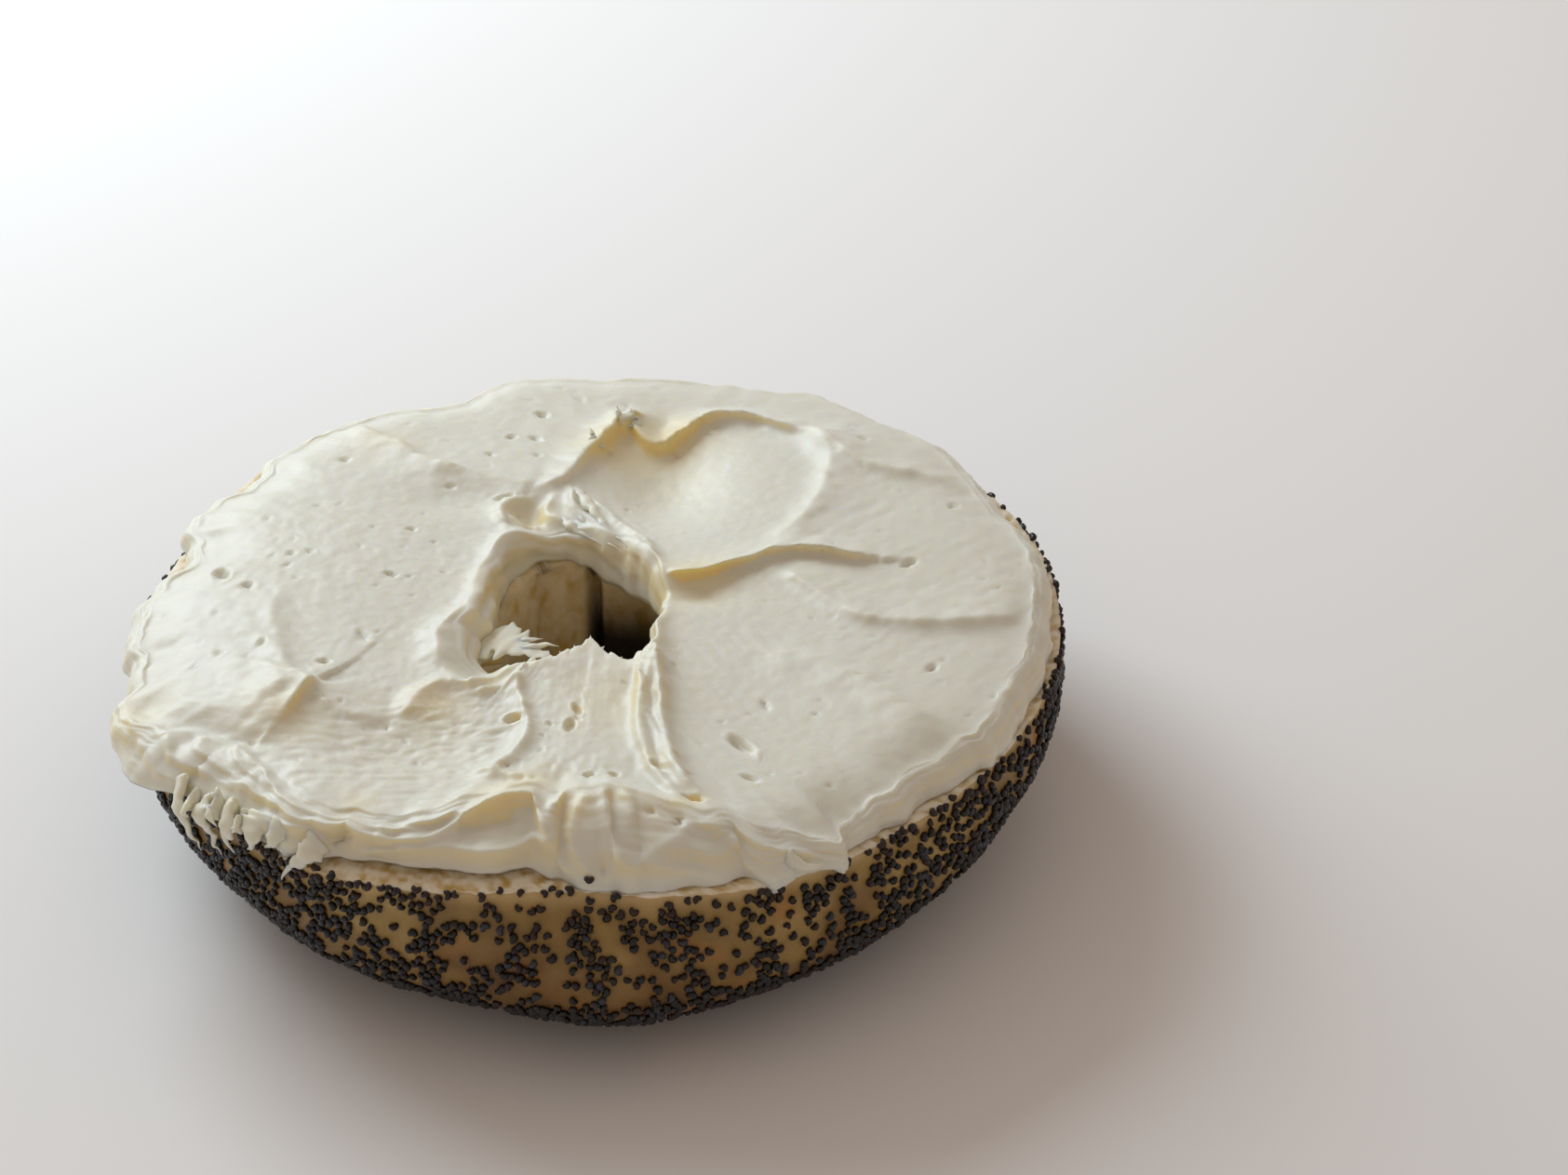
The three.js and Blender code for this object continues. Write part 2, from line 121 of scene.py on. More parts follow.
# A ridge is (path, rise at its start and end, width of its left and right flank, lean to the left),
# with left and right as seen walking along the path.
RIDGES = [
    # round the left of the hole
    ([(-9.2, 13.2), (-11, 10.6), (-12.6, 6.5), (-13.7, 1.5), (-14.4, -3), (-16, -7.5), (-18, -11),
      (-18.2, -15.2), (-17, -19)], 1.7, 1.3, 2.6, 1.5, 0),
    # rope and bundle of strands on the right of the hole
    ([(4, 10), (6.4, 4.5), (7.1, -2), (7.4, -10), (7.8, -18), (8.4, -26), (9.4, -34), (11.6, -41),
      (15, -46)], 2, 1.5, 1.1, 0.85, 0),
    ([(6.4, -15), (5.8, -20), (5.6, -27), (6.2, -33), (8.2, -39), (11.4, -44.5)], 1.2, 1.1, 1.4, 0.8,
      -0.2),
    ([(5.4, -19), (6.4, -25), (7.4, -30), (9, -36), (12.4, -42)], 0.5, 0.6, 0.5, 0.5, 0),
    ([(7.2, -16), (6.8, -21), (6.1, -26), (6.4, -31), (7.6, -36)], 0.6, 0.5, 0.5, 0.5, 0),
    # thin lip to the right of the hole
    ([(7.4, 1.6), (10.6, 2), (13.4, 2.8), (16.4, 4.2), (24, 6.5), (34, 5)], 2, 1.5, 2.4, 0.6, -0.7),
    # step on the left
    ([(-38.5, -2), (-37.4, -12), (-36, -19), (-32.4, -23)], 0.2, 1.5, 1.4, 8, 0),
    ([(-31.4, -22.4), (-33.2, -25.4), (-35, -29), (-37.8, -33.4)], 1.7, 1.5, 1.1, 6.5, 0.3),
    ([(-31.5, -22.5), (-29.6, -25.6), (-26.5, -27.4), (-22.5, -27.5)], 1, 0.3, 4, 1, 0),
    # tongue in front of the hole
    ([(-6.6, -19.2), (-4, -16.4), (-1.4, -14), (-0.3, -12.8), (1, -15), (3, -17.2), (6, -18.6)], 1, 0.9,
      1, 5, 0.3),
    ([(-7.7, -19.5), (-8, -23), (-6.9, -27), (-6.5, -30.8), (-8, -34.8), (-9.6, -37.2), (-9.8, -40)], 1,
      0.9, 0.6, 0.9, 0),
    ([(-12, -37.6), (-9, -39.4), (-5, -39.8)], 0.6, 0.7, 0.9, 0.9, 0),
    ([(-14, -21), (-11.5, -20.6), (-8.5, -18.6), (-6.4, -18.6)], 0.9, 0.7, 0.7, 0.9, 0),
    ([(-13, -23), (-10, -22.4), (-8, -21)], 0.7, 0.7, 0.5, 0.5, 0),
    # folded flap by the left of the hole
    ([(-21.6, -27), (-19.3, -22.8), (-16.8, -20.8), (-14, -20.9), (-12.2, -22.2)], 0.8, 1.2, 0.9, 2.2,
      -0.8),
    # crest round the scoop
    ([(-8.5, 22.5), (-5.6, 24.6), (-4, 28.6), (-2, 32.6), (0, 37), (0.9, 40.6)], 0.9, 2.5, 2, 1.2,
      -0.4),
    ([(0.9, 40.6), (2.1, 38.6), (3.1, 40.4), (4.4, 36.7), (6.2, 34.8), (8.5, 36.6), (11, 40),
      (14.5, 41.4), (20, 40), (25, 36)], 2.4, 1.6, 1.9, 1, -0.5),
    ([(25, 37), (29, 29), (27, 18), (22, 9)], 1.4, 1, 4, 1.6, 0),
    # boundary behind the broad left sweep
    ([(-34, 40.5), (-30.7, 36.1), (-26.7, 32.5), (-22.1, 27.9), (-17.8, 25.5)], 1.5, 0.7, 1.1, 2.8,
      0.4),
    ([(-22, 27.6), (-15, 25), (-9, 23.4)], 0.5, 0.8, 4, 3, 0),
    # raised back rim
    ([(-20, 50), (-15, 52.4), (-8, 53), (0, 53)], 1.2, 0.5, 2, 1.1, -0.4),
    # tangle behind the hole
    ([(-4, 22.5), (-3, 17.5), (0.5, 13), (4, 8), (6.6, 2)], 1.1, 1.1, 0.8, 0.8, 0),
    ([(-6.2, 20.5), (-6.6, 17.4), (-5, 15.6), (-1, 13), (2.5, 9)], 0.9, 1, 0.8, 0.9, 0),
    ([(-1, 20.5), (2.6, 14.5), (5, 10.5), (7.4, 5)], 0.7, 1.1, 0.7, 0.6, 0),
    ([(4.6, 11), (3.4, 8.6), (4.2, 6), (6.2, 3.6)], 0.8, 0.8, 0.5, 0.6, 0),
    ([(-11.8, 13.5), (-12.6, 16.5), (-11.4, 19.4), (-9.2, 20.6)], 1, 0.8, 0.9, 0.7, 0),
    ([(-11.5, 16.2), (-9.4, 15), (-7.4, 15.4)], 0.8, 0.8, 0.5, 0.5, 0),
    # far right side
    ([(22, 3), (33, -8), (46, -8), (54, -2)], 0.8, 1.2, 4.5, 1.3, -0.4),
    ([(27, 36), (34, 27), (45, 24), (51, 15)], 1.2, 0.8, 3.4, 1.3, -0.4),
    ([(20, -14), (30, -19), (42, -33)], 0.4, 1.2, 1.4, 5, 0),
    # end of the lip
    ([(13.5, -46), (18, -47), (23, -50), (27, -52)], 0.4, 0.8, 1.2, 0.9, 0),
    ([(17, -46), (18.4, -47), (20, -49)], 0.7, 0.8, 0.5, 0.6, 0),
    ([(1.6, -41.6), (3.4, -42.6), (5.4, -43.2)], 0.7, 0.5, 0.8, 0.8, 0),
]
# Fine texture: (x, y, reach in x, reach in y, direction, streaks, lumps, wrinkles)
PATCHES = [
    (-38, 2, 17, 26, -30, 0.10, 0.12, 0.05), (-22, 5, 8, 18, -24, 0.16, 0.07, 0.02),
    (-12, 40, 22, 9, -32, 0.10, 0.14, 0.05), (7, 25, 8, 13, -72, 0.06, 0.08, 0),
    (-21, -33, 15, 8, 4, 0.08, 0.14, 0.36), (0, -27, 6, 8, 86, 0.08, 0.07, 0.03),
    (-2, -38, 9, 3.2, 84, 0.12, 0.14, 0.30), (18, -22, 9, 21, -60, 0.09, 0.04, 0),
    (29, -45, 6, 7, -58, 0.34, 0.12, 0.20), (0, 14, 6, 6, -58, 0.34, 0.18, 0.10),
    (38, 12, 15, 25, 42, 0.09, 0.08, 0.05), (26, 44, 15, 9, 8, 0.07, 0.10, 0.08),
    (-9, -22, 3, 4, 60, 0.10, 0.25, 0.20),
]
# Bubbles and gouges: (x, y, length, width, direction, depth)
PITS = [
    (18, -33, 4.6, 1.7, -52, 1), (19, -39.5, 2.4, 0.8, -40, 0.6), (20.6, -25, 2.8, 0.6, -68, 0.5),
    (1, -39.8, 1.5, 1.2, 60, 0.9), (3.8, -39.6, 1.3, 1.1, 80, 0.9), (-1, -26.5, 2.4, 1, -70, 0.6),
    (-1.7, -29.6, 2.6, 1.3, 80, 0.7), (-31, -18, 1.7, 1.2, -30, 0.8), (-25, 1.5, 1.9, 0.8, -40, 0.7),
    (-33.5, 29, 1.7, 1.1, -30, 0.6), (-9, 42, 2, 1.5, -50, 0.8), (-9.5, 35.6, 2.3, 1, -45, 0.6),
    (-12.6, 36, 1.4, 1.1, 0, 0.6), (-15, 31, 1.3, 0.9, -60, 0.4), (-9, 31, 1.1, 1, 0, 0.4),
    (-4.2, 46, 1.8, 1, 80, 0.4), (-37.5, 5.6, 1.3, 0.9, 0, 0.4), (-35.3, 6.1, 1.2, 0.8, 0, 0.4),
    (-27, -12, 3.2, 0.9, -60, 0.45), (-23.5, 12, 1.3, 1, 0, 0.5), (-43.5, -16, 1.5, 1, -60, 0.4),
    (-38.7, -14.5, 1.7, 0.9, 80, 0.4), (-12.5, 20.6, 2.5, 0.9, 20, 0.7), (-8.3, -28.2, 1.9, 1.6, 0, 1),
    (12.8, -44.8, 2.6, 1, -25, 0.9), (8.7, -38.6, 2.6, 0.9, -60, 0.8), (-45.6, 1.6, 2.8, 1.7, -50, 0.8),
    (-42, -1.4, 2, 1, -40, 0.6), (-19.5, 23, 1.5, 1, 10, 0.3), (38, 4, 2.8, 1.2, 40, 0.6),
    (44, 18, 1.6, 1.1, 30, 0.5), (33, 34, 1.8, 1, 10, 0.5), (40, -18, 2.2, 1, 60, 0.6),
]
BUBBLE_COUNT = 230
RIDGE_REACH = 3.2
RIDGE_SHARPNESS = 1.35
RIDGE_UNEVENNESS = 0.22
CREST_RUN_IN = 3.2
# Millimetres for a degree, and for the whole way down, on the front face
FACE_SCALE = (0.9, -8.0)
# Clearance between the underside of the spread and the cut face
UNDERSIDE_GAP = 0.1
# Painted shade: a yellow tint, from 0 to 1, that stands in for light glowing through the cream on its
# steep shaded faces, and a small even tint on the thin strands
STEEP_SHADE_TINT = 0.46
STRAND_SHADE_TINT = 0.12
# Mesh density: loops round the ring, rows of points along a loop, and sides of a strand
SPREAD_LOOPS = 560
HOLE_ROWS = 14
TOP_ROWS = 101
FACE_ROWS = 42
HANG_ROWS = 6
BREAD_LOOPS = 600
STRAND_SIDES = 16
# Folds of the front face: ridges whose path is (bearing, share of the way down)
FOLDS = [
    # swirl at the left end
    ([(206.5, 0.1), (209, 0.3), (211.5, 0.5), (214, 0.7), (217.5, 0.86), (222, 0.9)], 0.7, 0.6, 1.9,
      0.4, 0),
    ([(211.5, 0.04), (212.6, 0.26), (214.6, 0.48), (217.6, 0.64), (222, 0.68)], 0.8, 0.7, 1.7, 0.4, 0),
    ([(216.6, 0.02), (216.6, 0.22), (218.2, 0.42), (222, 0.52), (226, 0.5)], 0.7, 0.6, 1.5, 0.4, 0),
    ([(221, 0.04), (221.6, 0.2), (224, 0.32), (228, 0.36)], 0.5, 0.5, 1.2, 0.4, 0),
    # folds that run from it along the front
    ([(222, 0.1), (228, 0.16), (233, 0.26), (239, 0.26), (245, 0.34), (250, 0.4)], 0.6, 1.1, 0.7, 1.2,
      0),
    ([(225, 0.62), (229, 0.5), (233, 0.42), (237, 0.46), (241, 0.4), (246, 0.58)], 0.8, 0.9, 0.6, 0.9,
      0),
    ([(229.6, 0.78), (233, 0.66), (236, 0.62), (239, 0.6), (241, 0.84)], 0.7, 0.7, 0.5, 0.8, 0),
    ([(239.4, 0.48), (241.4, 0.42), (243.8, 0.56), (243.4, 0.86)], 0.6, 0.6, 0.5, 0.8, 0),
    ([(241.4, 0.68), (241.9, 0.7)], -1, -1, 1.1, 1.1, 0),
    ([(244, 0.5), (249, 0.6), (254, 0.5), (257.4, 0.24), (261, 0.14), (265, 0.28), (267, 0.62)], 0.8,
      1.5, 0.7, 0.9, 0),
    ([(245, 0.86), (250, 0.76), (254.6, 0.76), (259, 0.8), (263, 0.78), (266, 0.66), (268, 0.78)], 0.8,
      1, 0.6, 0.8, 0),
    ([(255, 0.52), (258.8, 0.46), (262, 0.44)], -0.9, -1, 1.4, 1.2, 0),
    ([(249, 0.3), (253, 0.26), (256, 0.36)], 0.4, 0.4, 0.5, 0.5, 0),
    # broad middle
    ([(268.8, -0.04), (267, 0.26), (266.8, 0.54), (268.4, 0.82), (270, 1)], 1.2, 0.9, 1, 0.5, 0),
    ([(271.6, 0.06), (270.2, 0.4), (270.4, 0.7), (272, 0.92)], 0.6, 0.5, 0.6, 0.5, 0),
    ([(274.2, -0.08), (273.6, 0.16), (274, 0.4), (275.2, 0.62), (276.4, 0.82)], 0.9, 0.6, 0.4, 1.2, 0),
    ([(276.4, 0), (277.6, 0.18), (277, 0.38)], 0.6, 0.4, 0.3, 0.8, 0),
    ([(276.4, 0.86), (280.2, 0.62), (283, 0.42), (284.8, 0.26)], 0.5, 0.5, 0.8, 1.4, 0),
    ([(279.4, 0.2), (280, 0.22)], -0.6, -0.6, 0.5, 0.5, 0),
    ([(282.8, 0.26), (283.3, 0.3)], -0.9, -0.9, 0.6, 0.6, 0),
    ([(273.2, 0.84), (273.6, 0.84)], -0.6, -0.6, 0.35, 0.35, 0),
    ([(272, 0.92), (277, 0.8), (282, 0.82), (286, 0.9)], 0.3, 0.4, 0.8, 0.8, 0),
    # right end
    ([(285.6, 0.16), (288, 0.46), (290.6, 0.85)], 0.5, 0.8, 1.2, 0.5, 0),
    ([(289, 0.06), (292, 0.36), (296, 0.56), (300, 0.7)], 0.6, 0.7, 0.7, 0.8, 0),
    ([(284, 0.6), (287, 0.66), (290, 0.5)], 0.3, 0.4, 0.6, 0.6, 0),
]
# Spots of painted shade, where thin or deep spread gets the yellow tint that stands in for light glowing
# through it: (x, y, reach, strength)
SHADE_TINT_SPOTS = [
    (-5.5, -41.6, 3.4, 0.9), (-17.6, -25.2, 3.2, 0.9), (-33, -29.5, 3.6, 0.5), (-51.5, -25.5, 3.4, 0.6),
    (0.6, 34, 4.6, 1), (8.6, 37, 4.6, 1.2), (12.5, 0.6, 4.4, 0.9), (13, -45, 2, 0.5), (8.4, -37, 2, 0.4),
    (-9, 17, 2.8, 0.8), (4.4, -46, 1.6, 0.7), (11, -46.4, 1.4, 0.8), (8, -48, 3.2, 0.35),
    (-9.5, -45.5, 3.4, 0.5), (-13, 0, 3.4, 0.35), (-24.5, -44.5, 2.2, 0.7), (-29, 33.5, 4, 0.5),
    (-11.2, -20.8, 1.8, 0.4), (3, -24, 6.5, 0.55), (7, 30, 7, 0.5), (0, -48, 2.2, 0.9),
    (-20, -30, 8, 0.2), (-36, -27, 5, 0.4),
]

# Tassels that hang from the lip: (points, half width at the root, half depth); each starts at the
# nearest place on the spread
TASSELS = [
    ([(-46.4, -39.4, 27), (-45.4, -39.7, 24.2), (-44.2, -39.5, 21), (-43.3, -38.9, 18)], 1.8, 0.7),
    ([(-45.4, -40.8, 27), (-44.5, -41.1, 25.2), (-44.2, -40.9, 24)], 1.3, 0.6),
    ([(-44, -41.6, 27.6), (-42.9, -41.2, 24.6), (-41.8, -40.6, 21.6), (-40.9, -40.8, 18.9)], 2.2, 0.8),
    ([(-42.7, -42.8, 27.4), (-41.6, -42.7, 25.6), (-40.7, -42.4, 24.4)], 1.9, 0.7),
    ([(-40.8, -44.2, 27.6), (-39.6, -43.8, 25), (-39.6, -42.9, 22.8), (-38.8, -43, 21)], 2.4, 0.8),
    ([(-39.2, -45.5, 27.2), (-38.3, -45.6, 25.8), (-38.4, -44.9, 24.9)], 1.4, 0.6),
    ([(-36.8, -46.6, 27.4), (-36.2, -46.4, 25.4), (-37, -45.3, 23)], 2.6, 0.9),
    ([(-34, -48, 27.4), (-33.8, -47.6, 26), (-34.5, -47, 25)], 1.9, 0.7),
    ([(-28.6, -50.2, 26.8), (-30, -50, 25.2), (-31.6, -49.4, 23.6), (-32.6, -48.9, 21.8)], 1.7, 0.8),
    ([(23.5, -52.6, 26.4), (25.4, -51.9, 25.4), (27.4, -50.6, 24.7)], 1.5, 0.7),
]

# Short peaks that stand on the crest of the scoop: (points, half width at the root, half depth)
PEAKS = [
    ([(-1.6, 32.8, 28.6), (-1.8, 33.9, 29.6), (-2.3, 34.8, 30.6)], 1.1, 0.8),
    ([(1, 37.9, 28.6), (1.1, 38.9, 29.8), (0.9, 40, 31)], 1.3, 0.9),
    ([(3.2, 37.7, 28.6), (3.1, 38.7, 29.6), (2.8, 39.6, 30.6)], 1.2, 0.9),
]

# Thin strands, each drawn to a point at its end: (points, half width, half depth)
WISPS = [
    # ragged sheet that bridges the left corner of the hole
    ([(-14.2, -7.6, 25.6), (-10.9, -9.4, 26.5), (-8, -11.3, 26.9), (-3.4, -14.4, 27.1)], 3.2, 0.45),
    ([(-9.4, -9.6, 26.6), (-7.6, -9.5, 27.1), (-5.9, -9.8, 27.4)], 0.45, 0.3),
    ([(-8.6, -11.2, 26.9), (-6, -11, 27.3), (-4, -11.4, 27.6)], 0.45, 0.3),
    ([(-6.6, -14.4, 28), (-7.6, -15.6, 27.5), (-9, -17.4, 27.2), (-10.9, -19.5, 26.9)], 0.4, 0.35),
    ([(-5.8, -16, 28.2), (-7, -17.4, 27.8), (-8.6, -19.2, 27.5), (-10.3, -20.8, 27.4)], 0.4, 0.35),
    ([(-4.4, -16.2, 28.6), (-6.2, -17.2, 28.2), (-7.6, -18.6, 28.2), (-8.2, -20.4, 28.2)], 0.5, 0.4),
    # ragged tip of the tongue
    ([(-0.4, -13.6, 27.4), (-0.35, -12.2, 28.2), (-0.2, -11, 28.7)], 0.6, 0.4),
    ([(-1.4, -15, 27.3), (-1.8, -13.5, 28), (-2.2, -12.4, 28.4)], 0.5, 0.35),
    ([(-2.6, -15.9, 27.2), (-3.2, -14.4, 27.8), (-3.8, -13.3, 28.1)], 0.5, 0.35),
    ([(-4, -16.4, 27), (-4.8, -15, 27.6), (-5.6, -14.3, 27.7)], 0.45, 0.35),
    ([(0.4, -14.4, 27.3), (1, -13.3, 27.9), (1.6, -12.5, 28.1)], 0.5, 0.35),
    ([(2.2, -15.9, 27.1), (2.9, -14.8, 27.7), (3.7, -14.2, 27.8)], 0.5, 0.35),
    # tangle behind the hole
    ([(-4.6, 23.6, 28.3), (-2.7, 20.3, 28.8), (-0.8, 16.3, 28.9), (0.8, 12.9, 28.6), (3.4, 9.2, 28.5)],
      0.8, 0.5),
    ([(-5.8, 23.2, 27.8), (-4.2, 19.1, 28.3), (-2.2, 15.6, 28.2), (0, 12.4, 28), (2.6, 8.8, 27.9)], 0.7,
      0.45),
    ([(-5.8, 18.4, 27.6), (-4, 15, 27.9), (-2.1, 13.1, 27.7), (0.2, 11, 27.5)], 0.7, 0.45),
    # folds that run down the back of the hole to the right
    ([(-4.6, 13.7, 25.6), (-0.6, 12.3, 24.5), (2.8, 9.3, 24), (5.8, 5.3, 24.5), (7.2, 1.6, 25.2)], 0.6,
      0.6),
    ([(-1.6, 13.4, 25.6), (2.3, 10.8, 25), (5.2, 7.3, 25), (7.2, 3, 25.9)], 0.6, 0.5),
    ([(-3.4, 15, 27), (0, 13.6, 26.4), (3, 11.4, 26.2), (5.8, 8.4, 26.3), (7.6, 4.6, 26.9)], 0.6, 0.5),
]

# Seeds: those on the side stand free, and those under the foot are pressed flat
SEED_LENGTH = 1.2
SEED_GAP = 0.80
PRESSED_GAP = 1.15
PRESSED_THINNESS = 0.5
SEEDS_PER_MM2 = 3.0
LEAST_SEED = 0.82
LARGEST_SEED = 1.12
# Height of a seed's middle above the crust
SEED_LIFT = 0.24
# Place of the one seed on the lip
STRAY_SEED = (0.8, -56.5, 26.0)
# The crust stands this far above the floor, on its pressed seeds
CRUST_CLEARANCE = 0.72
# Seeds on the crust below this height are pressed flat
FOOT_TOP = 1.2
# Rows of the hole wall, from the foot up, that have a skin of crust, and that have pressed seeds
CRUST_ROWS_IN_HOLE = 8
SEED_ROWS_IN_HOLE = 12

# Camera: width of the picture in pixels, and pixels to a millimetre at the point it looks at
PICTURE_WIDTH = 1685
PIXELS_PER_MM = 8.86
CAMERA_DISTANCE = 430.0
CAMERA_ELEVATION = 32.88
CAMERA_AIM = np.array([22.77, 0.0, 4.37 + CUT_HEIGHT])
SENSOR_WIDTH = 36.0


def srgb(code):
    """Linear colour from an sRGB hex value."""
    parts = [int(code[i:i + 2], 16) / 255 for i in (1, 3, 5)]
    return tuple(c / 12.92 if c <= 0.04045 else ((c + 0.055) / 1.055) ** 2.4 for c in parts) + (1.0,)


def noise(points, wave, seed=0):
    """Smooth random relief from about -1 to 1, in waves of a given length."""
    scaled = points / np.asarray(wave, float)
    cell = np.floor(scaled)
    part = scaled - cell
    ease = part ** 3 * (part * (part * 6 - 15) + 10)
    total = np.zeros(points.shape[:-1])
    for corner in np.ndindex(2, 2, 2):
        spot = cell + corner
        draw = np.sin(spot @ np.array([127.1, 311.7, 74.7]) + seed * 53.31) * 43758.5453
        draw -= np.floor(draw)
        turn = 2 * np.pi * draw
        lift = 2 * np.modf(draw * 91.7)[0] - 1
        flat = np.sqrt(1 - lift ** 2)
        away = part - corner
        slope = flat * (np.cos(turn) * away[..., 0] + np.sin(turn) * away[..., 1]) + lift * away[..., 2]
        total += slope * np.prod(np.where(corner, ease, 1 - ease), axis=-1)
    return 1.7 * total


def smoothstep(low, high, value):
    """Eases from 0 at the low value to 1 at the high one."""
    part = np.clip((value - low) / (high - low), 0, 1)
    return part * part * (3 - 2 * part)


def swelling(swells, bearing):
    """Sum of the swells at each bearing."""
    away = [((bearing - centre + 180) % 360 - 180) / half for centre, half, _ in swells]
    return sum(swell[2] * np.exp(-part ** 2) for swell, part in zip(swells, away))


def peak_at(x, y, middle_x, middle_y, reach_x, reach_y):
    """1 in the middle of a mound, falling away to 0 over its reach."""
    return np.exp(-((x - middle_x) / reach_x) ** 2 - ((y - middle_y) / reach_y) ** 2)


def turned_to(direction, x, y):
    """Coordinates along and across a direction in degrees."""
    c = math.cos(math.radians(direction))
    s = math.sin(math.radians(direction))
    return c * x + s * y, c * y - s * x


def outline(points, bearing):
    """Smooth closed curve through points that start with (bearing, value)."""
    known = np.array([point[:2] for point in points] + [(points[0][0] + 360, points[0][1])], float)
    turned = bearing % 360
    at = np.clip(np.searchsorted(known[:, 0], turned, side="right") - 1, 0, len(points) - 1)
    share = (turned - known[at, 0]) / (known[at + 1, 0] - known[at, 0])
    return known[at, 1] + (known[at + 1, 1] - known[at, 1]) * (0.5 - 0.5 * np.cos(np.pi * share))


def hole_point(bearing, grow, height):
    """Points round the hole, a distance outside its edge."""
    angle = np.radians(bearing)
    x = HOLE["x"] + (HOLE["rx"] + grow) * np.cos(angle)
    y = HOLE["y"] + (HOLE["ry"] + grow) * np.sin(angle)
    return np.stack(np.broadcast_arrays(x, y, height), axis=-1)


def ring_point(bearing, radius, height):
    """Points round the middle of the ring."""
    angle = np.radians(bearing)
    x = radius * np.cos(angle)
    y = radius * np.sin(angle)
    return np.stack(np.broadcast_arrays(x, y, height), axis=-1)


def crust_at(bearing, along):
    """Radius and height of the crust, from the cut edge (along = 0) to the foot (along = 1)."""
    rim = RIM_RADIUS + swelling(RIM_SWELLS, bearing)
    belly = RIM_RADIUS + swelling(BELLY_SWELLS, bearing)
    front = (WIDEST_LINE["front"], WIDEST_LINE["spread"], WIDEST_LINE["drop"])
    widest = WIDEST_LINE["height"] - swelling([front], bearing)
    upper = np.clip(along / SHOULDER, 0, 1)
    turn = np.clip((along - SHOULDER) / (1 - SHOULDER), 0, 1) * np.pi / 2
    radius = rim + (belly - rim) * np.sin(upper * np.pi / 2) - CRUST_TAPER * (1 - np.cos(turn))
    height = CUT_HEIGHT + (widest - CUT_HEIGHT) * upper - widest * np.sin(turn)
    return radius, height


def surface_normals(points):
    """Outward normals of a closed grid of loops."""
    along = np.roll(points, -1, 1) - np.roll(points, 1, 1)
    across = np.roll(points, -1, 0) - np.roll(points, 1, 0)
    normal = np.cross(along, across)
    return normal / np.maximum(np.linalg.norm(normal, axis=-1, keepdims=True), 1e-9)


def linked(name, data):
    """New object in the scene."""
    piece = bpy.data.objects.new(name, data)
    bpy.context.scene.collection.objects.link(piece)
    return piece


def paint(mesh, label, values):
    """Writes one value for each vertex into a new attribute."""
    flat = np.asarray(values, np.float32).ravel()
    mesh.attributes.new(label, "FLOAT", "POINT").data.foreach_set("value", flat)


def vertex_places(mesh):
    """Places of the vertices, in millimetres before centring."""
    flat = np.empty(len(mesh.vertices) * 3)
    mesh.vertices.foreach_get("co", flat)
    return flat.reshape(-1, 3) / MM - CENTRING


def grid_object(name, points, attributes):
    """Closed ring-shaped mesh from an array of loops, one loop for each bearing."""
    steps, rows = points.shape[:2]
    index = np.arange(steps * rows).reshape(steps, rows)
    below = np.roll(index, -1, 1)
    quads = np.stack([index, below, np.roll(below, -1, 0), np.roll(index, -1, 0)], axis=-1)
    quads = quads.reshape(-1, 4)
    mesh = bpy.data.meshes.new(name)
    mesh.vertices.add(steps * rows)
    mesh.vertices.foreach_set("co", ((points + CENTRING) * MM).astype(np.float32).ravel())
    mesh.loops.add(quads.size)
    mesh.loops.foreach_set("vertex_index", quads.ravel())
    mesh.polygons.add(len(quads))
    mesh.polygons.foreach_set("loop_start", np.arange(0, quads.size, 4))
    mesh.polygons.foreach_set("use_smooth", np.ones(len(quads), bool))
    mesh.update(calc_edges=True)
    for label, values in attributes.items():
        paint(mesh, label, values)
    return linked(name, mesh)


def smooth_path(points, pieces=6):
    """Evenly bending line through a few points."""
    ends = np.array(points, float)
    ends = np.vstack([2 * ends[0] - ends[1], ends, 2 * ends[-1] - ends[-2]])
    t = np.linspace(0, 1, pieces, endpoint=False)[:, None]
    spans = [
        0.5 * (2 * b + (c - a) * t + (2 * a - 5 * b + 4 * c - d) * t ** 2
               + (3 * b - a - 3 * c + d) * t ** 3)
        for a, b, c, d in zip(ends, ends[1:], ends[2:], ends[3:])
    ]
    return np.vstack(spans + [ends[-2:-1]])


def beside_path(x, y, path):
    """Distance to the left of a path (negative to the right), share of its length, and the way left."""
    spans = np.diff(path, axis=0)
    lengths = np.hypot(spans[:, 0], spans[:, 1])
    passed = np.concatenate([[0], np.cumsum(lengths)])
    least = np.full(x.shape, np.inf)
    side, share, left_x, left_y = (np.zeros(x.shape) for _ in range(4))
    for start, span, length, before in zip(path, spans, lengths, passed):
        t = np.clip(((x - start[0]) * span[0] + (y - start[1]) * span[1]) / length ** 2, 0, 1)
        dx = x - start[0] - t * span[0]
        dy = y - start[1] - t * span[1]
        away = np.hypot(dx, dy)
        nearer = away < least
        least = np.where(nearer, away, least)
        side = np.where(nearer, np.sign(span[0] * dy - span[1] * dx), side)
        share = np.where(nearer, (before + t * length) / passed[-1], share)
        left_x = np.where(nearer, -span[1] / length, left_x)
        left_y = np.where(nearer, span[0] / length, left_y)
    return least * side, share, left_x, left_y


